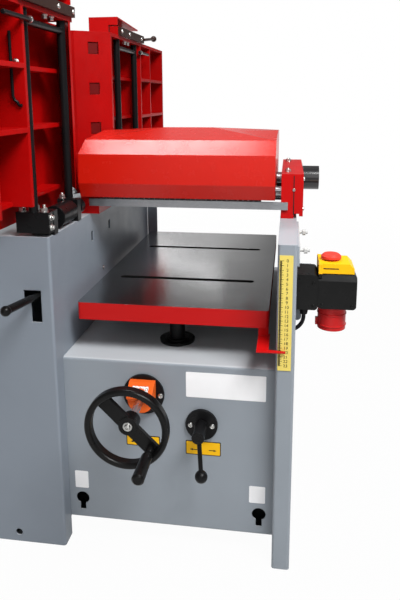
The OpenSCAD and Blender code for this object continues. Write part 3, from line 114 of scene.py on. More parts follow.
class Graph:
    """The nodes of a material or of the world, with short helpers that make and link them."""

    def __init__(self, owner):
        owner.use_nodes = True
        self.nodes = owner.node_tree.nodes
        self.links = owner.node_tree.links

    def feed(self, socket, value):
        """Sets a socket to a number or a colour, or links an output to it."""
        if isinstance(value, (int, float)):
            socket.default_value = value
        elif isinstance(value, tuple):
            socket.default_value = (*value, 1.0)
        else:
            self.links.new(value, socket)

    def ramp(self, value, low, high, a=0.0, b=1.0):
        """Goes from a to b as a value goes from low to high."""
        node = self.nodes.new("ShaderNodeMapRange")
        settings = {"Value": value, "From Min": low, "From Max": high, "To Min": a, "To Max": b}
        for name, setting in settings.items():
            self.feed(node.inputs[name], setting)
        return node.outputs["Result"]

    def math(self, kind, a, b=0.0):
        """A sum, product or comparison of two values."""
        node = self.nodes.new("ShaderNodeMath")
        node.operation = kind
        for socket, value in zip(node.inputs, (a, b)):
            self.feed(socket, value)
        return node.outputs[0]

    def split(self, vector):
        """The X, Y and Z outputs of a vector."""
        node = self.nodes.new("ShaderNodeSeparateXYZ")
        self.feed(node.inputs[0], vector)
        return node.outputs


BEVEL_SAMPLES = 4
NOISE_ROUGHNESS = 0.55
# The part of a noise's range that is spread over a change of colour or of roughness
CLOUDS = (0.32, 0.68)
MARKS = (0.35, 0.65)
GRAIN = (0.3, 0.7)
# Cosines of how far a rounded edge turns the normal: where it starts to count, and where it counts in full
EDGE_TURN = (0.985, 0.86)
# A face looks along an axis where its normal's share of that axis is past this
FACING = 0.7
# Sockets of a mix node that is set to colours
MIX_FACTOR, MIX_A, MIX_B, MIX_RESULT = 0, 6, 7, 2


def shade(color, factor, lift=0.0):
    """A colour made lighter or darker."""
    return tuple(min(1.0, c * factor + lift) for c in color)


class Look(Graph):
    """A material under construction: a Principled shader and short helpers for its procedural detail.

    The bevel is the radius of the rounded edges in millimetres; only a look with one has edge wear or relief.
    """

    def __init__(self, name, color, roughness, bevel=None, metallic=0.0, gloss=0.5):
        self.material = bpy.data.materials.new(name)
        super().__init__(self.material)
        self.material.diffuse_color = (*color, 1.0)
        self.shader = self.nodes["Principled BSDF"]
        self.color = color
        self.put("Base Color", color)
        self.put("Roughness", roughness)
        self.put("Metallic", metallic)
        self.put("Specular IOR Level", gloss)
        self.coords = self.nodes.new("ShaderNodeTexCoord")
        if bevel:
            self.round = self.nodes.new("ShaderNodeBevel")
            self.round.samples = BEVEL_SAMPLES
            self.round.inputs["Radius"].default_value = bevel * MM

    def put(self, socket, value):
        """Sets or links an input of the shader."""
        self.feed(self.shader.inputs[socket], value)

    def place(self):
        """The X, Y and Z of the shaded point."""
        return self.split(self.coords.outputs["Object"])

    def facing(self):
        """The X, Y and Z of the face's own normal."""
        return self.split(self.coords.outputs["Normal"])

    def noise(self, scale, detail, stretch=(1, 1, 1)):
        """Noise in the object's space, squeezed along its axes."""
        spread = self.nodes.new("ShaderNodeMapping")
        spread.inputs["Scale"].default_value = stretch
        self.feed(spread.inputs["Vector"], self.coords.outputs["Object"])
        node = self.nodes.new("ShaderNodeTexNoise")
        settings = {"Vector": spread.outputs["Vector"], "Scale": scale, "Detail": detail,
                    "Roughness": NOISE_ROUGHNESS}
        for name, setting in settings.items():
            self.feed(node.inputs[name], setting)
        return node.outputs["Fac"]

    def mix(self, factor, a, b):
        """A colour that goes from a to b with a factor."""
        node = self.nodes.new("ShaderNodeMix")
        node.data_type = "RGBA"
        for socket, value in ((MIX_FACTOR, factor), (MIX_A, a), (MIX_B, b)):
            self.feed(node.inputs[socket], value)
        return node.outputs[MIX_RESULT]

    def edge(self):
        """1 on the rounded edges, 0 on the flats."""
        plain = self.nodes.new("ShaderNodeNewGeometry")
        dot = self.nodes.new("ShaderNodeVectorMath")
        dot.operation = "DOT_PRODUCT"
        self.feed(dot.inputs[0], self.round.outputs["Normal"])
        self.feed(dot.inputs[1], plain.outputs["Normal"])
        return self.ramp(dot.outputs["Value"], *EDGE_TURN)

    def tint(self, amount, scale):
        """The colour with slow light and dark clouds in it."""
        clouds = self.ramp(self.noise(scale, detail=4.0), *CLOUDS)
        return self.mix(clouds, shade(self.color, 1 - amount), shade(self.color, 1 + amount))

    def roughness(self, rough, spread, scale):
        """A roughness that drifts between two multiples of a value."""
        low, high = spread
        self.put("Roughness", self.ramp(self.noise(scale, detail=5.0), *GRAIN, rough * low, rough * high))

    def bump(self, height, strength, distance):
        """Relief on top of the rounded edges, with its distance in millimetres."""
        node = self.nodes.new("ShaderNodeBump")
        settings = {"Strength": strength, "Distance": distance * MM, "Height": height,
                    "Normal": self.round.outputs["Normal"]}
        for name, setting in settings.items():
            self.feed(node.inputs[name], setting)
        self.put("Normal", node.outputs["Normal"])


RED = (0.54, 0.009, 0.003)
DEEP_RED = (0.49, 0.004, 0.004)
CAST_RED = (0.38, 0.002, 0.002)
# Dark red for the floors of the nose pockets: painted shade in the pockets
POCKET_SHADE_RED = (0.13, 0.001, 0.001)
GREY = (0.262, 0.293, 0.328)
# Grey darkened for the drive housing and its cover: painted shade, a shaded copy of the grey paint
SHADED_HOUSING_GREY = (0.212, 0.243, 0.285)
# Pale grey painted on faces that look up, as painted light from above
PAINTED_TOP_LIGHT = (0.66, 0.68, 0.7)
YELLOW = (0.98, 0.5, 0.008)
BLACK_PLASTIC = (0.005, 0.005, 0.005)
PRINT_BLACK = (0.012, 0.012, 0.013)
STUD_STEEL = (0.5, 0.5, 0.49)
# Near-black for the table's unmachined faces and slot walls: unmachined iron, darkened further as painted
# shade in the slots
RAW_IRON_AND_SHADE = (0.008, 0.008, 0.008)
GROUND_IRON = (0.5, 0.5, 0.505)
# Ground iron where it is stained and where it is clean, and in and between its grinding marks
TABLE_IRON = ((0.37, 0.37, 0.375), (0.46, 0.46, 0.465))
FACE_IRON = ((0.4, 0.4, 0.405), (0.44, 0.44, 0.445))
# The level that a worn edge's colour goes towards, and the part of a noise's range where edges are worn
WORN_LEVEL = 0.55
WORN_PATCHES = (0.42, 0.7)
# The share of a normal's Z from which faces that look up are painted paler as painted light from above, and
# where it is full
TOP_LIT_FACING = (0.6, 0.9)


def paint(name, color, rough, peel=0.12, wear=0.12, gloss=0.5, bare=None, top_light=0.0):
    """Powder coat: fine orange peel, slow tone changes, thin edges, and painted light from above: a paler
    tone on faces that look up.
    """
    look = Look(name, color, rough, bevel=1.6, gloss=gloss)
    worn = tuple(c + (WORN_LEVEL - c) * wear for c in color)
    patches = look.ramp(look.noise(scale=45.0, detail=5.0), *WORN_PATCHES)
    coat = look.mix(look.math("MULTIPLY", look.edge(), patches), look.tint(amount=0.05, scale=3.5), worn)
    # Faces that look up are painted paler: painted light from above
    if top_light:
        up = look.ramp(look.facing()["Z"], *TOP_LIT_FACING)
        coat = look.mix(look.math("MULTIPLY", up, top_light), coat, PAINTED_TOP_LIGHT)
    if bare:
        coat = look.mix(bare(look), coat, STUD_STEEL)
    look.put("Base Color", coat)
    look.roughness(rough, spread=(0.9, 1.12), scale=22.0)
    look.bump(look.noise(scale=620.0, detail=2.0), peel, distance=0.12)
    return look.material


def cast_coat(look):
    """The look's colour as paint on a casting, lighter along the edges."""
    return look.mix(look.edge(), look.tint(amount=0.1, scale=7.0), shade(look.color, factor=1.12))


def cast_lumps(look):
    """The lumpy skin of a sand casting."""
    return look.noise(scale=150.0, detail=4.0)


def casting_paint(name, color, rough):
    """Paint over a sand casting: a lumpy skin under the gloss."""
    look = Look(name, color, rough, bevel=2.2, gloss=0.15)
    look.put("Base Color", cast_coat(look))
    look.roughness(rough, spread=(0.85, 1.2), scale=40.0)
    look.bump(cast_lumps(look), strength=0.3, distance=0.5)
    return look.material


def metal(name, color, rough, brush=(1, 40, 40)):
    """Metal with fine marks, squeezed along the axes as the brush says."""
    look = Look(name, color, rough, bevel=0.7, metallic=1.0)
    marks = look.noise(scale=110.0, detail=4.0, stretch=brush)
    dark, light = shade(color, factor=0.86), shade(color, factor=1.1)
    look.put("Base Color", look.mix(look.ramp(marks, *MARKS), dark, light))
    look.roughness(rough, spread=(0.8, 1.25), scale=60.0)
    look.bump(marks, strength=0.12, distance=0.05)
    return look.material


def plastic(name, color, rough, grain=380.0, strength=0.12, gloss=0.2, yellow=None):
    """Moulded plastic with a fine spark-eroded grain, and yellow where a mask asks for it."""
    look = Look(name, color, rough, bevel=1.4, gloss=gloss)
    body = look.mix(look.edge(), look.tint(amount=0.08, scale=9.0), shade(color, factor=1.2, lift=0.004))
    if yellow:
        body = look.mix(yellow(look), body, YELLOW)
    look.put("Base Color", body)
    look.roughness(rough, spread=(0.88, 1.15), scale=70.0)
    look.bump(look.noise(grain, detail=3.0), strength, distance=0.1)
    return look.material


def printed(name, color, rough):
    """Printed foil or enamel: nearly even, with a faint mottle."""
    look = Look(name, color, rough, gloss=0.2)
    look.put("Base Color", look.tint(amount=0.03, scale=12.0))
    look.roughness(rough, spread=(0.9, 1.1), scale=50.0)
    return look.material


# Thicknessing table: the painted rim's width, how much rougher its paint is than the ground iron, the iron's
# roughness in and between the marks, and the part of a noise's range where the iron is stained
RIM_W = 9
RIM_ROUGHER = 0.22
TABLE_ROUGHNESS = (0.15, 0.25)
STAINS = (0.35, 0.7)


def table_iron(name, red):
    """The thicknessing table: ground iron on top, red paint on the outer edges, and near-black unmachined
    iron elsewhere, darkened as painted shade in the slots.
    """
    look = Look(name, GROUND_IRON, roughness=0.14, bevel=1.2, metallic=1.0, gloss=0.2)
    low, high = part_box("thickness_table")
    centre, half = (low + high) / 2, (high - low) / 2
    place = look.place()
    off_x = look.math("ABSOLUTE", look.math("SUBTRACT", place["X"], centre.x))
    off_y = look.math("ABSOLUTE", look.math("SUBTRACT", place["Y"], centre.y))
    rim = look.math("MAXIMUM", look.math("GREATER_THAN", off_x, half.x - RIM_W * MM),
                    look.math("GREATER_THAN", off_y, half.y - RIM_W * MM))
    side = look.math("LESS_THAN", look.facing()["Z"], FACING)
    painted = look.math("MULTIPLY", rim, side)
    # Faces that are neither top nor painted rim: unmachined iron, painted near black as shade in the slots
    raw_and_shaded = look.math("SUBTRACT", side, painted)
    marks = look.noise(scale=90.0, detail=5.0, stretch=(1.2, 60, 1))
    iron = look.mix(look.ramp(look.noise(scale=4.0, detail=5.0), *STAINS), *TABLE_IRON)
    look.put("Base Color", look.mix(raw_and_shaded, look.mix(painted, iron, red), RAW_IRON_AND_SHADE))
    look.put("Metallic", look.math("SUBTRACT", 1.0, side))
    rougher = look.math("MULTIPLY", painted, RIM_ROUGHER)
    look.put("Roughness", look.math("ADD", look.ramp(marks, *GRAIN, *TABLE_ROUGHNESS), rougher))
    look.bump(marks, strength=0.09, distance=0.04)
    return look.material


# Planing tables: half the gap between the noses, where the bare comb lips stand, the ground face's depth, and
# the roughness of the paint and of the ground iron
LIP_REACH = 49.5
GROUND_T = 1.5
CAST_ROUGHNESS = (0.34, 0.48)
FACE_ROUGHNESS = (0.27, 0.32)


def plane_casting(name, color, node):
    """A planing table: painted casting with a ground working face and a bare comb lip."""
    look = Look(name, color, roughness=0.4, bevel=2.2, gloss=0.09)
    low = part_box(node)[0]
    place = look.place()
    face = look.math("MULTIPLY", look.math("LESS_THAN", place["X"], low.x + GROUND_T * MM),
                     look.math("LESS_THAN", look.facing()["X"], -FACING))
    lip = look.math("LESS_THAN", look.math("ABSOLUTE", place["Y"]), LIP_REACH * MM)
    bare = look.math("MAXIMUM", face, lip)
    painted = look.math("SUBTRACT", 1.0, bare)
    marks = look.noise(scale=90.0, detail=5.0, stretch=(1, 1.2, 60))
    iron = look.mix(look.ramp(marks, *MARKS), *FACE_IRON)
    look.put("Base Color", look.mix(bare, cast_coat(look), iron))
    look.put("Metallic", bare)
    rough_paint = look.ramp(look.noise(scale=40.0, detail=5.0), *GRAIN, *CAST_ROUGHNESS)
    rough_iron = look.ramp(marks, *GRAIN, *FACE_ROUGHNESS)
    look.put("Roughness", look.math("ADD", look.math("MULTIPLY", painted, rough_paint),
                                    look.math("MULTIPLY", bare, rough_iron)))
    look.bump(look.math("MULTIPLY", cast_lumps(look), painted), strength=0.3, distance=0.5)
    return look.material


# The ears begin this far above the flap lid's underside; the studs lie this far to the right of the scale and
# less than this far under the side frame's top
EARS_FROM = 0.4
STUDS_FROM = 11.6
STUDS_UNDER = 30


def lid_ears(look):
    """1 on the hinge ears that stand above the switch box, 0 below."""
    return look.math("GREATER_THAN", look.place()["Z"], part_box("estop_lid")[0].z + EARS_FROM * MM)


def frame_studs(look):
    """1 on the two studs of the side plate, 0 on the painted sheet."""
    place = look.place()
    outside = look.math("GREATER_THAN", place["X"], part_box("depth_scale")[1].x + STUDS_FROM * MM)
    high = look.math("GREATER_THAN", place["Z"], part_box("side_frame")[1].z - STUDS_UNDER * MM)
    return look.math("MULTIPLY", outside, high)


LOOKS = {
    # The last number of each grey sets how strongly its faces that look up are painted paler, as painted
    # light from above
    "grey": paint("grey_powder_coat", GREY, rough=0.42, top_light=0.6),
    "grey_housing_shaded": paint("housing_shade_coat", SHADED_HOUSING_GREY, rough=0.42, top_light=0.45),
    "grey_frame": paint("grey_frame_coat", GREY, rough=0.42, bare=frame_studs, top_light=0.3),
    "red": paint("red_powder_coat", DEEP_RED, rough=0.34, peel=0.06, wear=0.04, gloss=0.14),
    "red_hood": paint("red_hood_coat", RED, rough=0.26, peel=0.05, wear=0.03, gloss=0.36),
    "outfeed_cast": plane_casting("outfeed_casting", CAST_RED, "outfeed_table"),
    "infeed_cast": plane_casting("infeed_casting", CAST_RED, "infeed_table"),
    # The nose pockets' floors: red darkened as painted shade
    "pocket_shade_red": casting_paint("nose_pocket_shade_paint", POCKET_SHADE_RED, rough=0.5),
    "iron_top": table_iron("ground_table_iron", DEEP_RED),
    "iron": casting_paint("grey_iron", (0.07, 0.072, 0.075), rough=0.5),
    "steel": metal("turned_steel", (0.56, 0.57, 0.58), rough=0.28),
    "flat_steel": metal("rolled_steel", (0.44, 0.45, 0.47), rough=0.36, brush=(1, 30, 30)),
    "zinc": metal("zinc_plate", (0.62, 0.62, 0.6), rough=0.3, brush=(20, 20, 20)),
    "brass": metal("bronze", (0.63, 0.44, 0.2), rough=0.32),
    "black_paint": casting_paint("black_paint", (0.006, 0.006, 0.0065), rough=0.3),
    "black": plastic("black_plastic", BLACK_PLASTIC, rough=0.3, gloss=0.17),
    "switch": plastic("switch_plastic", BLACK_PLASTIC, rough=0.3, gloss=0.17, yellow=lid_ears),
    "cap": paint("cap_enamel", PRINT_BLACK, rough=0.22, peel=0.03, wear=0.0, gloss=0.8),
    "rubber": plastic("black_rubber", (0.016, 0.016, 0.017), rough=0.65, grain=200.0, strength=0.2),
    "brown": plastic("brown_plastic", (0.034, 0.015, 0.011), rough=0.42),
    "orange": plastic("orange_plastic", (0.85, 0.13, 0.016), rough=0.36),
    "yellow": plastic("yellow_plastic", YELLOW, rough=0.34, gloss=0.1),
    "scale": printed("scale_yellow", (0.78, 0.62, 0.14), rough=0.4),
    "red_plastic": plastic("red_plastic", (0.5, 0.012, 0.012), rough=0.32),
    "mushroom": plastic("mushroom_red", (0.72, 0.05, 0.032), rough=0.36),
    "green": plastic("green_plastic", (0.02, 0.3, 0.06), rough=0.36),
    "white": printed("white_label", (0.92, 0.92, 0.93), rough=0.4),
    "yellow_label": printed("yellow_label", (0.93, 0.5, 0.004), rough=0.45),
    "print": printed("black_print", PRINT_BLACK, rough=0.5),
}

NODE_LOOKS = {
    "grey": ["cabinet"],
    # The drive housing and its cover take the darker grey, which is painted shade
    "grey_housing_shaded": ["drive_housing", "drive_cover"],
    "grey_frame": ["side_frame"],
    "red_hood": ["hood"],
    "red": ["right_cheek", "right_cheek_cover", "left_cheek", "belt_guard", "depth_pointer",
            "outfeed_lock_box", "infeed_lock_box"],
    "outfeed_cast": ["outfeed_table"],
    "infeed_cast": ["infeed_table"],
    "iron_top": ["thickness_table"],
    "iron": ["feed_gearbox", "motor", "lift_bearing", "cutter_pulley", "motor_pulley", "chip_breaker",
             "knife_wedges", "kickback_fingers"],
    "steel": ["hood_rod", "kickback_rod", "cutter_bearings", "feed_chains", "cutterblock", "knives",
              "feed_sprockets", "infeed_roller", "lifting_screw", "handwheel_shaft"],
    "flat_steel": ["cut_limiter"],
    "brass": ["lift_wheel"],
    "cap": ["bearing_cap"],
    "black_paint": ["column_flanges", "guide_columns", "counter_flange", "clamp_flange",
                    "hinge_brackets", "outfeed_arms", "infeed_arms", "clamp_lever"],
    "black": ["handwheel", "crank_grip", "feed_lever", "junction_box"],
    "switch": ["switch_box"],
    "rubber": ["outfeed_roller", "drive_belts", "switch_cable"],
    "brown": ["outfeed_lock", "infeed_lock"],
    "orange": ["depth_counter"],
    "yellow": ["estop_lid"],
    "scale": ["depth_scale"],
    "red_plastic": ["power_inlet"],
    "mushroom": ["estop_button"],
    "green": ["start_button"],
}


def dress_nodes():
    """Gives the CAD nodes their materials."""
    for look, names in NODE_LOOKS.items():
        for name in names:
            data = NODES[name].data
            data.materials.clear()
            data.materials.append(LOOKS[look])


def skin(bm, loops, closed=True):
    """Faces between neighbouring rings of points, with both ends closed or left open."""
    for a, b in zip(loops, loops[1:]):
        for i in range(len(a)):
            j = (i + 1) % len(a)
            bm.faces.new((a[i], a[j], b[j], b[i]))
    if closed:
        bm.faces.new(loops[0][::-1])
        bm.faces.new(loops[-1])


def lathe(bm, profile, at, axis, steps=28):
    """Turns (radius, height) pairs, in millimetres, about an axis through a point."""
    place = Matrix.Translation(at) @ axis.to_track_quat("Z", "Y").to_matrix().to_4x4()
    turns = [2 * math.pi * i / steps for i in range(steps)]
    loops = []
    for r, h in profile:
        loops.append([bm.verts.new(place @ mm(r * math.cos(a), r * math.sin(a), h)) for a in turns])
    skin(bm, loops)


CORNER_STEPS = 6


def rounded(w, h, r):
    """Outline of a rounded rectangle about its centre, in millimetres."""
    corners = ((w / 2 - r, h / 2 - r), (r - w / 2, h / 2 - r), (r - w / 2, r - h / 2), (w / 2 - r, r - h / 2))
    points = []
    for quarter, (x, y) in enumerate(corners):
        for i in range(CORNER_STEPS + 1):
            a = (quarter + i / CORNER_STEPS) * math.pi / 2
            points.append((x + r * math.cos(a), y + r * math.sin(a)))
    return points


def square(w, h):
    """Outline of a plain rectangle about its centre, in millimetres."""
    return [(-w / 2, -h / 2), (w / 2, -h / 2), (w / 2, h / 2), (-w / 2, h / 2)]


def draw_out(bm, levels, at, right, up, closed=True):
    """Skins outlines in millimetres, each at a distance from a point towards the viewer of that side."""
    out = right.cross(up)
    loops = []
    for outline, rise in levels:
        loops.append([bm.verts.new(at + (right * u + up * v + out * rise) * MM) for u, v in outline])
    skin(bm, loops, closed)


def plate(bm, outline, depth, at, right=X, up=Z):
    """A flat plate: an outline in millimetres, drawn out from a point towards the viewer of that side."""
    draw_out(bm, [(outline, 0), (outline, depth)], at, right, up)


def sweep(bm, points, r, sides=14):
    """A round bar of a radius in millimetres along a run of points in metres."""
    normal = Y.copy()
    turns = [2 * math.pi * k / sides for k in range(sides)]
    loops = []
    for i, p in enumerate(points):
        ahead = (points[min(i + 1, len(points) - 1)] - points[max(i - 1, 0)]).normalized()
        normal = (normal - ahead * normal.dot(ahead)).normalized()
        other = ahead.cross(normal)
        loops.append([bm.verts.new(p + (normal * math.cos(a) + other * math.sin(a)) * r * MM) for a in turns])
    skin(bm, loops)


# Profiles of heads as shares of their radius and height; a washer's thickness as a share of its nut's height,
# and its chamfer as a share of that
HEX_PROFILE = [(1.0, 0), (1.0, 0.86), (0.88, 1.0)]
BUTTON_PROFILE = [(1.0, 0), (1.0, 0.35), (0.85, 0.8), (0.52, 1.0), (0.45, 1.0), (0.4, 0.35)]
WASHER_T = 0.3
WASHER_CHAMFER = 0.3
# Thread that stands out of a nut: its radius, and the radius and length of its tip
STUD_R = 4
STUD_TIP = (3.4, 1)
STUD_STEPS = 16
# Nuts and bolts in millimetres: width across flats, height and the washer's radius
M8_NUT = (13, 7, 9)
STOP_NUT = (13, 5, 9)
FOOT_BOLT = (10, 5, 7.5)
CLIP_NUT = (9, 6, 6.5)
# Domed screws in millimetres: the head's radius and height
FLANGE_SCREW = (6.0, 4.0)
HUB_SCREW = (7.0, 5.0)
CHEEK_SCREW = (5.5, 3.6)
SEAM_SCREW = (4.0, 2.4)
COVER_SCREW = (6.5, 3.4)
WALL_SCREW = (5.0, 2.6)
LEVER_SCREW = (6.0, 3.0)
BOX_SCREW = (3.4, 1.6)


def hex_head(bm, at, axis, across, height, washer):
    """Hexagon head or nut on a washer."""
    low = height * WASHER_T
    chamfer = low * WASHER_CHAMFER
    lathe(bm, [(washer, 0), (washer, low - chamfer), (washer - chamfer, low)], at, axis)
    r = across / math.sqrt(3)
    lathe(bm, [(r * a, low + height * b) for a, b in HEX_PROFILE], at, axis, steps=6)


def button_head(bm, at, axis, r, height):
    """Domed screw head with a socket."""
    lathe(bm, [(r * a, height * b) for a, b in BUTTON_PROFILE], at, axis)


def stud(bm, at, length, nut):
    """An upright threaded end with its nut and washer."""
    tip_r, tip = STUD_TIP
    lathe(bm, [(STUD_R, 0), (STUD_R, length), (tip_r, length + tip)], at, Z, STUD_STEPS)
    hex_head(bm, at, Z, *nut)


# The font's size for figures of height 1
FONT_SIZE = 1.38


def figures(bm, text, height, at, right=X, up=Z):
    """Printed figures, flat on a surface and centred on a point."""
    curve = bpy.data.curves.new("figures", "FONT")
    curve.body = text
    curve.size = height * FONT_SIZE * MM
    curve.align_x, curve.align_y = "CENTER", "CENTER"
    holder = bpy.data.objects.new("figures", curve)
    bpy.context.scene.collection.objects.link(holder)
    bpy.context.view_layer.update()
    flat = bpy.data.meshes.new_from_object(holder)
    flat.transform(Matrix.Translation(at) @ Matrix((right, up, right.cross(up))).transposed().to_4x4())
    bm.from_mesh(flat)
    bpy.data.meshes.remove(flat)
    bpy.data.objects.remove(holder)
    bpy.data.curves.remove(curve)


# Edges sharper than this, in degrees, stay sharp
SMOOTH_ANGLE = 35.0


def finish_piece(name, bm, look, body):
    """Turns a built mesh into a piece that rides on a body."""
    bmesh.ops.recalc_face_normals(bm, faces=bm.faces)
    data = bpy.data.meshes.new(name)
    bm.to_mesh(data)
    bm.free()
    data.polygons.foreach_set("use_smooth", [True] * len(data.polygons))
    data.set_sharp_from_angle(angle=math.radians(SMOOTH_ANGLE))
    data.materials.append(LOOKS[look])
    piece = bpy.data.objects.new(name, data)
    bpy.context.scene.collection.objects.link(piece)
    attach(piece, body)
    return piece


# Depth scale: millimetre marks on the left, a figure for each centimetre
SCALE_CM = 23
SCALE_ZERO = 11
SCALE_EDGE = 1
SCALE_FIGURES = 16.5
SCALE_FIGURE_H = 6.8
MARK_LENGTHS = {10: 8, 5: 6, 1: 4}
MARK_T = 0.55
CM_MARK_T = 0.825
PRINT_T = 0.25


def scale_print():
    """Marks and figures of the depth scale."""
    low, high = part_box("depth_scale")
    top = high.z - SCALE_ZERO * MM
    bm = bmesh.new()
    for step in range(SCALE_CM * 10 + 1):
        long = next(size for unit, size in MARK_LENGTHS.items() if step % unit == 0)
        thick = CM_MARK_T if step % 10 == 0 else MARK_T
        at = Vector((low.x + (SCALE_EDGE + long / 2) * MM, low.y, top - step * MM))
        plate(bm, square(long, thick), PRINT_T, at)
    for cm in range(SCALE_CM + 1):
        at = Vector((low.x + SCALE_FIGURES * MM, low.y - PRINT_T * MM, top - cm * 10 * MM))
        figures(bm, str(cm), SCALE_FIGURE_H, at)
    finish_piece("scale_print", bm, "print", "frame")


# Counter: digit wheels behind a window on the sloped face, which rises and runs back by so much
COUNTER_FACE = (20, 28)
COUNTER_READING = "01960"
# Outlines as width, height and corner radius
WINDOW_FRAME = (44, 20, 3)
WINDOW_OPENING = (39, 15, 2)
WINDOW_T = 1.4
WINDOW_SEAT = 0.2
DIGIT_PITCH = 7.4
DIGIT_WHEEL = (6.8, 14.4, 0.8)
DIGIT_WHEEL_T = 0.5
DIGIT_H = 8.5
DIGIT_RISE = 0.7


def counter_window():
    """The counter's window frame, its white digit wheels and their figures."""
    low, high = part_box("depth_counter")
    rise, run = COUNTER_FACE
    up = Vector((0, run, rise)).normalized()
    at = Vector(((low.x + high.x) / 2, low.y + run / 2 * MM, high.z - rise / 2 * MM))
    out = X.cross(up)
    window, dial, ink = bmesh.new(), bmesh.new(), bmesh.new()
    outer, inner = rounded(*WINDOW_FRAME), rounded(*WINDOW_OPENING)
    levels = [(outer, 0), (outer, WINDOW_T), (inner, WINDOW_T), (inner, WINDOW_SEAT)]
    draw_out(window, levels, at, X, up, closed=False)
    for i, digit in enumerate(COUNTER_READING):
        spot = at + X * (i - len(COUNTER_READING) // 2) * DIGIT_PITCH * MM
        plate(dial, rounded(*DIGIT_WHEEL), DIGIT_WHEEL_T, spot, X, up)
        figures(ink, digit, DIGIT_H, spot + out * DIGIT_RISE * MM, X, up)
    finish_piece("counter_frame", window, "orange", "frame")
    finish_piece("counter_dials", dial, "white", "frame")
    finish_piece("counter_figures", ink, "print", "frame")


# Bare foils on the cabinet front: left, right, low and high edges in millimetres
WHITE_FOILS = {"sign_plate": (149, 330, 388, 449), "left_sticker": (-125, -92, 130, 175),
               "right_sticker": (295, 332, 132, 175)}
YELLOW_FOILS = {"wheel_foil": (6, 86, 255, 282), "lever_foil": (147, 229, 244, 279)}
FOIL_T = 0.4
FOIL_CORNER = 2.5
FOIL_BORDER = 2
FIELD_CORNER = 2
# Arrows on a yellow foil: tip and tail as shares of its width, the drop below its middle as one of its height
ARROW_TIP, ARROW_TAIL, ARROW_DROP = 0.38, 0.16, 0.12
ARROW_HEAD = 7
ARROW_BARB = 2.6
ARROW_SHAFT = 0.9


def panel_foils():
    """Plain white foils, and yellow ones with a black border and arrows."""
    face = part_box("cabinet")[0].y
    for name, (x0, x1, z0, z1) in {**WHITE_FOILS, **YELLOW_FOILS}.items():
        at = Vector(((x0 + x1) / 2 * MM, face, (z0 + z1) / 2 * MM))
        wide, tall = x1 - x0, z1 - z0
        bordered = name in YELLOW_FOILS
        bm = bmesh.new()
        plate(bm, rounded(wide, tall, FOIL_CORNER), FOIL_T, at)
        finish_piece(name, bm, "print" if bordered else "white", "frame")
        if bordered:
            bm = bmesh.new()
            plate(bm, rounded(wide - 2 * FOIL_BORDER, tall - 2 * FOIL_BORDER, FIELD_CORNER), 2 * FOIL_T, at)
            finish_piece(name + "_field", bm, "yellow_label", "frame")
            foil_arrows(name, at, wide, tall)


def foil_arrows(name, at, width, height):
    """Two plain arrows that point apart, low on a yellow foil."""
    low = at - Y * 2 * FOIL_T * MM - Z * height * ARROW_DROP * MM
    bm = bmesh.new()
    for side in (-1, 1):
        tip, tail = side * width * ARROW_TIP, side * width * ARROW_TAIL
        neck = tip - side * ARROW_HEAD
        outline = [(tail, -ARROW_SHAFT), (neck, -ARROW_SHAFT), (neck, -ARROW_BARB), (tip, 0),
                   (neck, ARROW_BARB), (neck, ARROW_SHAFT), (tail, ARROW_SHAFT)]
        plate(bm, outline[::side], FOIL_T / 2, low)
    finish_piece(name + "_arrows", bm, "print", "frame")


# How far from a flange's middle its two screws stand
FLANGE_REACH = {"counter_flange": 40, "clamp_flange": 25}


def front_screws():
    """Screws of the counter flange and the clamp flange."""
    bm = bmesh.new()
    for node, reach in FLANGE_REACH.items():
        low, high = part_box(node)
        centre = (low + high) / 2
        for side in (-1, 1):
            button_head(bm, Vector((centre.x + side * reach * MM, low.y, centre.z)), -Y, *FLANGE_SCREW)
    finish_piece("front_screws", bm, "zinc", "frame")


HUB_WASHER_T = 2.0
HUB_WASHER = [(10, 0), (10, 1.4), (9.2, HUB_WASHER_T)]


def wheel_bolt():
    """Bolt and washer on the handwheel hub."""
    low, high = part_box("handwheel_shaft")
    centre = (low + high) / 2
    at = Vector((centre.x, low.y, centre.z))
    bm = bmesh.new()
    lathe(bm, HUB_WASHER, at, -Y)
    button_head(bm, at - Y * HUB_WASHER_T * MM, -Y, *HUB_SCREW)
    finish_piece("wheel_bolt", bm, "zinc", "handwheel")


# Right cheek: stop bolts on top, screws of its cover, and a seam down its front with one screw
STOP_BOLTS_Y = (-125, 125)
STOP_BOLT_H = 8
CHEEK_SCREWS_Y = (-150, 150)
CHEEK_SCREWS_Z = (38, -38)
SEAM_W = 2.4
SEAM_T = 0.4
SEAM_CORNER = 0.8
SEAM_SHORTER = 8
SEAM_SCREW_Z = 833


def cheek_bolts():
    """Stop bolts on the right cheek, the screws of its cover, and its seam."""
    low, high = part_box("right_cheek")
    cover_low, cover_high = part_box("right_cheek_cover")
    middle = (cover_low.z + cover_high.z) / 2
    bm = bmesh.new()
    for y in STOP_BOLTS_Y:
        stud(bm, Vector(((low.x + high.x) / 2, y * MM, high.z)), STOP_BOLT_H, STOP_NUT)
    for y in CHEEK_SCREWS_Y:
        for z in CHEEK_SCREWS_Z:
            button_head(bm, Vector((cover_high.x, y * MM, middle + z * MM)), X, *CHEEK_SCREW)
    button_head(bm, Vector((high.x, low.y - SEAM_T * MM, SEAM_SCREW_Z * MM)), -Y, *SEAM_SCREW)
    finish_piece("cheek_bolts", bm, "zinc", "frame")
    bm = bmesh.new()
    tall = (cover_high.z - cover_low.z - SEAM_SHORTER * MM) / MM
    plate(bm, rounded(SEAM_W, tall, SEAM_CORNER), SEAM_T, Vector((high.x, low.y, middle)))
    finish_piece("cheek_seam", bm, "print", "frame")


# Drive cover: screws this far inside its edges; one more screw in the housing wall, at a Y and a Z
COVER_INSET = 16
WALL_SCREW_Y, WALL_SCREW_Z = -88, 591


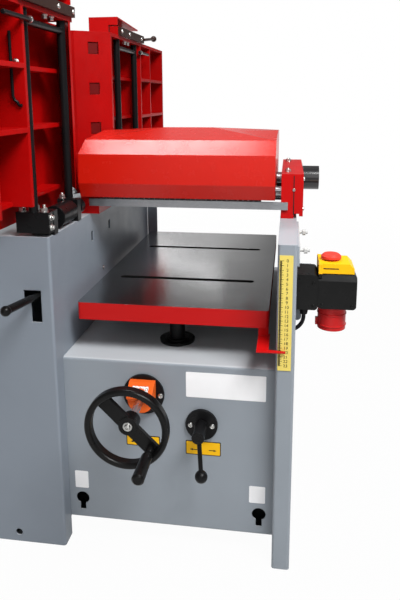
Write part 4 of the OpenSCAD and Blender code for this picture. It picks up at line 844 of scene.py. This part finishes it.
def housing_screws():
    """Screws round the drive cover and one in the housing wall."""
    low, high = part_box("drive_cover")
    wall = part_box("cabinet")[0].x
    inset = COVER_INSET * MM
    columns = [low.y + inset, (low.y + high.y) / 2, high.y - inset]
    rows = [low.z + inset, (low.z + high.z) / 2, high.z - inset]
    bm = bmesh.new()
    for y in columns:
        for z in rows:
            if (y, z) != (columns[1], rows[1]):
                button_head(bm, Vector((low.x, y, z)), -X, *COVER_SCREW)
    button_head(bm, Vector((wall, WALL_SCREW_Y * MM, WALL_SCREW_Z * MM)), X, *WALL_SCREW)
    finish_piece("housing_screws", bm, "zinc", "frame")


# Hinge brackets: nuts in from the brackets' side and out from the machine's middle
BRACKET_NUTS_IN = 9
BRACKET_NUTS_Y = (261, 409)
BRACKET_STUD_H = 13
# Foot block of the outer carrier arm: bolts on its inner side, studs on its top
FOOT_SIDE_X = -138
FOOT_MID_Y = 435
FOOT_TOP_Z = 815
FOOT_BOLTS_Z = (803, 781)
FOOT_STUDS_X = (-152, -202)
FOOT_STUD_H = 15


def hinge_nuts():
    """Nuts on the cast hinge brackets, and bolts and studs on the arm feet."""
    low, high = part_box("hinge_brackets")
    bm = bmesh.new()
    for side in SIDES.values():
        for y in BRACKET_NUTS_Y:
            stud(bm, Vector((low.x + BRACKET_NUTS_IN * MM, side * y * MM, high.z)), BRACKET_STUD_H, M8_NUT)
    finish_piece("hinge_nuts", bm, "zinc", "frame")
    for end, side in SIDES.items():
        bm = bmesh.new()
        for z in FOOT_BOLTS_Z:
            hex_head(bm, mm(FOOT_SIDE_X, side * FOOT_MID_Y, z), X, *FOOT_BOLT)
        for x in FOOT_STUDS_X:
            stud(bm, mm(x, side * FOOT_MID_Y, FOOT_TOP_Z), FOOT_STUD_H, M8_NUT)
        finish_piece(f"{end}_arms_screws", bm, "zinc", f"{end}_table")


# Stay beside an outer carrier arm: a straight rod from the top, a hook at its foot, and a clip on it
STAY_X, STAY_Y = -185, 480
STAY_Z = (1187, 1150, 1100, 1060)
STAY_R = 3.2
HOOK_TOP = 1052
HOOK_R = 10
HOOK_IN = 3
HOOK_TURNS = (0.3, 0.7, 1.1, 1.5)
HOOK_END = (-168, 477, 1041)
CLIP_X, CLIP_Y, CLIP_Z = -177, 474, 1128


def stay_rods():
    """Thin hooked stay beside each outer carrier arm, with its clip."""
    rod = [(STAY_X, STAY_Y, z) for z in STAY_Z]
    for a in HOOK_TURNS:
        over = math.sin(a)
        rod.append((STAY_X + HOOK_R * over, STAY_Y - HOOK_IN * over, HOOK_TOP - HOOK_R * (1 - math.cos(a))))
    rod.append(HOOK_END)
    for end, side in SIDES.items():
        table = f"{end}_table"
        bm = bmesh.new()
        sweep(bm, [mm(x, side * y, z) for x, y, z in rod], STAY_R)
        finish_piece(f"{table}_stay", bm, "black_paint", table)
        bm = bmesh.new()
        hex_head(bm, mm(CLIP_X, side * CLIP_Y, CLIP_Z), Y * side, *CLIP_NUT)
        finish_piece(f"{table}_stay_clip", bm, "zinc", table)


# Lock gear on a table: a draw rod that lies on the rib edges, nuts under the top rib, bolts in the lever
ROD_X, ROD_Z = -155, 1212
ROD_FROM, ROD_TO = 438, 560
ROD_R = 5
ROD_END_R = 4
ROD_CHAMFER = 1.2
COLLAR_R = 7.5
COLLAR_FROM, COLLAR_TO = 8, 13
LOCK_NUTS_X, LOCK_NUTS_Z = -172, 1236
LOCK_NUTS_Y = (300, 336)
LEVER_BOLTS_X, LEVER_BOLTS_Z = -150.7, 1258
LEVER_BOLTS_Y = (210, 300, 452)


def lock_gear():
    """Draw rod, nuts and lever bolts of both table locks."""
    long = ROD_TO - ROD_FROM
    rod = [(ROD_END_R, 0), (ROD_R, ROD_CHAMFER), (ROD_R, long), (ROD_END_R, long + ROD_CHAMFER)]
    collar = [(ROD_R, COLLAR_FROM), (COLLAR_R, COLLAR_FROM), (COLLAR_R, COLLAR_TO), (ROD_R, COLLAR_TO)]
    for end, side in SIDES.items():
        table, lock = f"{end}_table", f"{end}_lock"
        foot = mm(ROD_X, side * ROD_FROM, ROD_Z)
        bm = bmesh.new()
        lathe(bm, rod, foot, Y * side)
        finish_piece(f"{table}_draw_rod", bm, "black_paint", table)
        bm = bmesh.new()
        lathe(bm, collar, foot, Y * side)
        for y in LOCK_NUTS_Y:
            hex_head(bm, mm(LOCK_NUTS_X, side * y, LOCK_NUTS_Z), -Z, *M8_NUT)
        finish_piece(f"{table}_lock_nuts", bm, "zinc", table)
        bm = bmesh.new()
        for y in LEVER_BOLTS_Y:
            button_head(bm, mm(LEVER_BOLTS_X, side * y, LEVER_BOLTS_Z), X, *LEVER_SCREW)
        finish_piece(f"{lock}_bolts", bm, "zinc", lock)


# Cast pockets in a table's slanted nose wall: the wall's ends in X and Y, and the pockets' place
NOSE_FROM = (-248, 50)
NOSE_TO = {"outfeed": (-160, 208), "infeed": (-160, 112)}
NOSE_POCKET_X = -203
NOSE_POCKETS_Z = (856, 969, 1084, 1199)
NOSE_POCKET_SIZE = (25, 33)
NOSE_POCKET_DEEP = 6
NOSE_FLOOR_T = 2
NOSE_FLOOR_CORNER = 3


def nose_floors():
    """Floors a little way inside the pockets of both nose walls, in dark red as painted shade."""
    for end, side in SIDES.items():
        (x0, y0), (x1, y1) = NOSE_FROM, NOSE_TO[end]
        along = Vector((x1 - x0, side * (y1 - y0), 0)).normalized()
        right = along * side
        inward = right.cross(Z) * NOSE_POCKET_DEEP * MM
        pocket_y = y0 + (y1 - y0) * (NOSE_POCKET_X - x0) / (x1 - x0)
        width, height = NOSE_POCKET_SIZE
        outline = rounded(width / abs(along.x), height, NOSE_FLOOR_CORNER)
        bm = bmesh.new()
        for z in NOSE_POCKETS_Z:
            plate(bm, outline, NOSE_FLOOR_T, mm(NOSE_POCKET_X, side * pocket_y, z) - inward, right, Z)
        finish_piece(f"{end}_table_nose_floors", bm, "pocket_shade_red", f"{end}_table")


# Switch: the flap lid's seam as width, height and corner radius, and its place on the lid
LID_SEAM = (33, 2.2, 1.0)
LID_SEAM_T = 0.35
LID_SEAM_X = 463.5
LID_SEAM_IN = 6
# Rings round the power inlet, as radius and height
INLET_X = 471
INLET_RINGS_Z = (8, 34)
INLET_RING = [(31.2, 0), (32.4, 0.8), (32.4, 2.6), (31.2, 3.4)]
INLET_STEPS = 48
# Screws, from the switch box's lower left corner and from the junction box's upper left one
SWITCH_SCREWS_X = (9, 73)
SWITCH_SCREWS_UP = 9
JUNCTION_SCREWS_X = 36
JUNCTION_SCREWS_DOWN = (18, 70)


def switch_trim():
    """Seam on the flap lid, rings on the power inlet and screws on the boxes."""
    box_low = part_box("switch_box")[0]
    low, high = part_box("estop_lid")
    bm = bmesh.new()
    at = Vector((LID_SEAM_X * MM, box_low.y + LID_SEAM_IN * MM, (low.z + high.z) / 2))
    plate(bm, rounded(*LID_SEAM), LID_SEAM_T, at)
    finish_piece("lid_seam", bm, "print", "estop_lid")
    low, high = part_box("power_inlet")
    centre = Vector((INLET_X * MM, (low.y + high.y) / 2, low.z))
    bm = bmesh.new()
    for z in INLET_RINGS_Z:
        lathe(bm, [(r, z + h) for r, h in INLET_RING], centre, Z, INLET_STEPS)
    finish_piece("inlet_rings", bm, "red_plastic", "frame")
    bm = bmesh.new()
    for x in SWITCH_SCREWS_X:
        at = Vector((box_low.x + x * MM, box_low.y, box_low.z + SWITCH_SCREWS_UP * MM))
        button_head(bm, at, -Y, *BOX_SCREW)
    low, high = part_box("junction_box")
    for z in JUNCTION_SCREWS_DOWN:
        at = Vector((low.x + JUNCTION_SCREWS_X * MM, low.y, high.z - z * MM))
        button_head(bm, at, -Y, *BOX_SCREW)
    finish_piece("switch_screws", bm, "black", "frame")


# Bead on the extraction spigot, as radius and height, and its place before the spigot's end
PORT_X, PORT_Z = 95, 896
PORT_BEAD_IN = 14
PORT_BEAD = [(60, 0), (62, 1), (62.8, 3), (62, 5), (60, 6)]
PORT_STEPS = 56


def port_bead():
    """Rolled bead that holds the extraction hose on the spigot."""
    bm = bmesh.new()
    centre = Vector((PORT_X * MM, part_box("hood")[1].y - PORT_BEAD_IN * MM, PORT_Z * MM))
    lathe(bm, PORT_BEAD, centre, Y, PORT_STEPS)
    finish_piece("port_bead", bm, "red_hood", "hood")


# Black plate behind the louvres of the drive cover, painted shade of its dark inside, as width, height and
# corner radius
SCREEN = (236, 110, 5)
SCREEN_Z = 165
SCREEN_T = 2
SCREEN_GAP = 1


def louvre_screen():
    """A black plate inside the drive cover: painted shade behind the louvres."""
    bm = bmesh.new()
    at = Vector((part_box("drive_cover")[1].x + (SCREEN_GAP + SCREEN_T) * MM, 0, SCREEN_Z * MM))
    plate(bm, rounded(*SCREEN), SCREEN_T, at, -Y, Z)
    finish_piece("louvre_screen", bm, "black_paint", "frame")


# Black sheet pockets behind the keyholes: painted shade of the cabinet's dark inside
POCKET_X = (-108, 318)
POCKET_Z = 92
POCKET_SIZE = (44, 74)
POCKET_CORNERS = (4, 3)
POCKET_DEEP = 30
POCKET_WALL = 1.5
SHEET_T = 3


def lifting_pockets():
    """Folded sheet pockets behind the four lifting keyholes, open to the outside, painted black as painted
    shade.
    """
    low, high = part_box("cabinet")
    w, h = POCKET_SIZE
    outer = rounded(w, h, POCKET_CORNERS[0])
    inner = rounded(w - 2 * POCKET_WALL, h - 2 * POCKET_WALL, POCKET_CORNERS[1])
    levels = [(outer, POCKET_DEEP), (outer, 0), (inner, 0), (inner, POCKET_DEEP - POCKET_WALL)]
    bm = bmesh.new()
    for face, out in ((low.y + SHEET_T * MM, -Y), (high.y - SHEET_T * MM, Y)):
        for x in POCKET_X:
            draw_out(bm, levels, Vector((x * MM, face, POCKET_Z * MM)), out.cross(Z), Z)
    finish_piece("lifting_pockets", bm, "black_paint", "frame")


# Studio lamps: place, aim, width, depth, power and roll; the strip low behind is for the table top's sheen
LAMPS = {
    "top_box": ((-0.4, 0.75, 2.9), (-0.3, 0.6, 0.0), 1.2, 0.5, 28.0, 0.0),
    "key_box": ((1.25, -1.5, 2.7), (0.3, -0.4, 0.5), 1.2, 0.9, 94.0, 0.0),
    "front_box": ((0.3, -3.4, 1.9), (0.1, -0.3, 0.5), 2.2, 1.6, 12.0, 0.0),
    "floor_fill": ((0.1, -1.7, 0.12), (0.1, -0.3, 0.85), 1.4, 0.4, 1.2, 0.0),
    "table_strip": ((-0.16, 1.3, 0.985), (0.08, -0.04, 0.6), 0.42, 0.03, 0.15, -0.42),
}
WHITE = (1.0, 1.0, 1.0)
AMBIENT = 0.27
# Level that reflections see: the white backdrop low behind the object, a dimmer room elsewhere
BACKDROP_LEVEL, ROOM_LEVEL = 1.0, 0.22
# Where the backdrop gives way to the room: upwards, across, and towards the front for the world and the floor
BACKDROP_TOP = (0.21, 0.3)
BACKDROP_SIDE = (-0.12, -0.01)
WORLD_FRONT = (-0.3, 0.3)
FLOOR_FRONT = (-1.5, 0.5)


def seen_rays(graph):
    """Two outputs: 1 for camera and transmitted rays, and 1 for glossy rays."""
    path = graph.nodes.new("ShaderNodeLightPath").outputs
    return graph.math("MAXIMUM", path["Is Camera Ray"], path["Is Transmission Ray"]), path["Is Glossy Ray"]


def reflected(graph, vector, front, side=None):
    """The level that a reflection sees: the backdrop low behind the object, and the room elsewhere.

    If a side is given, the room also begins to the right of it.
    """
    place = graph.split(vector)
    low, top = BACKDROP_TOP
    share = graph.math("MULTIPLY", graph.ramp(place["Y"], *front), graph.ramp(place["Z"], top, low))
    if side:
        left, right = side
        share = graph.math("MULTIPLY", share, graph.ramp(place["X"], right, left))
    return graph.ramp(share, 0.0, 1.0, ROOM_LEVEL, BACKDROP_LEVEL)


def add_world(scene):
    """White to the camera, a backdrop and a room to reflections, and an even dim light to the rest."""
    world = bpy.data.worlds.new("studio")
    scene.world = world
    graph = Graph(world)
    back = graph.nodes["Background"]
    graph.feed(back.inputs["Color"], WHITE)
    direct, glossy = seen_rays(graph)
    around = graph.nodes.new("ShaderNodeTexCoord").outputs["Generated"]
    level = graph.ramp(glossy, 0.0, 1.0, AMBIENT, reflected(graph, around, WORLD_FRONT, BACKDROP_SIDE))
    graph.feed(back.inputs["Strength"], graph.ramp(direct, 0.0, 1.0, level, 1.0))


def add_lamps(scene):
    """The area lamps, hidden from the camera."""
    for name, (at, aim, width, depth, power, roll) in LAMPS.items():
        data = bpy.data.lights.new(name, "AREA")
        data.shape = "RECTANGLE"
        data.size, data.size_y = width, depth
        data.energy = power
        lamp = bpy.data.objects.new(name, data)
        lamp.location = at
        turn = (Vector(aim) - Vector(at)).to_track_quat("-Z", "Y").to_matrix() @ Matrix.Rotation(roll, 3, "Z")
        lamp.rotation_euler = turn.to_euler()
        lamp.visible_camera = False
        scene.collection.objects.link(lamp)


# Floor: half its length and the fade's distances in metres, its depth under the object in millimetres
FLOOR_HALF = 30.0
FLOOR_UNDER = 0.5
FLOOR_GREY = (0.5, 0.5, 0.5)
FLOOR_ROUGHNESS = 0.7
FLOOR_FADE = (1.0, 4.0)
FLOOR_WHITE = (0.97, 1.0)


def add_floor(scene):
    """White floor that keeps the object's shadow near it and fades into the background."""
    data = bpy.data.meshes.new("floor")
    w = FLOOR_HALF
    data.from_pydata([(-w, -w, 0), (w, -w, 0), (w, w, 0), (-w, w, 0)], [], [(0, 1, 2, 3)])
    floor = bpy.data.objects.new("floor", data)
    floor.location.z = -FLOOR_UNDER * MM
    look = bpy.data.materials.new("pale_floor")
    graph = Graph(look)
    shader = graph.nodes["Principled BSDF"]
    graph.feed(shader.inputs["Base Color"], FLOOR_GREY)
    graph.feed(shader.inputs["Roughness"], FLOOR_ROUGHNESS)
    glow = graph.nodes.new("ShaderNodeEmission")
    graph.feed(glow.inputs["Strength"], 1.0)
    place = graph.nodes.new("ShaderNodeTexCoord").outputs["Object"]
    far = graph.nodes.new("ShaderNodeVectorMath")
    far.operation = "LENGTH"
    graph.feed(far.inputs[0], place)
    white = graph.ramp(far.outputs["Value"], *FLOOR_FADE, *FLOOR_WHITE)
    direct, glossy = seen_rays(graph)
    mirrored = graph.math("MULTIPLY", glossy, reflected(graph, place, FLOOR_FRONT))
    seen = graph.math("MULTIPLY", white, graph.math("MAXIMUM", direct, mirrored))
    mixed = graph.nodes.new("ShaderNodeMixShader")
    for socket, value in zip(mixed.inputs, (seen, shader.outputs[0], glow.outputs[0])):
        graph.feed(socket, value)
    graph.feed(graph.nodes["Material Output"].inputs["Surface"], mixed.outputs[0])
    data.materials.append(look)
    scene.collection.objects.link(floor)


def add_studio():
    """World, lamps and floor."""
    scene = bpy.context.scene
    scene.view_settings.view_transform = "Standard"
    add_world(scene)
    add_lamps(scene)
    add_floor(scene)


add_camera()
add_lead()
add_studio()
dress_nodes()
for add_fittings in (scale_print, counter_window, panel_foils, front_screws, wheel_bolt, cheek_bolts,
                     housing_screws, hinge_nuts, stay_rods, lock_gear, nose_floors, switch_trim, port_bead,
                     louvre_screen, lifting_pockets):
    add_fittings()
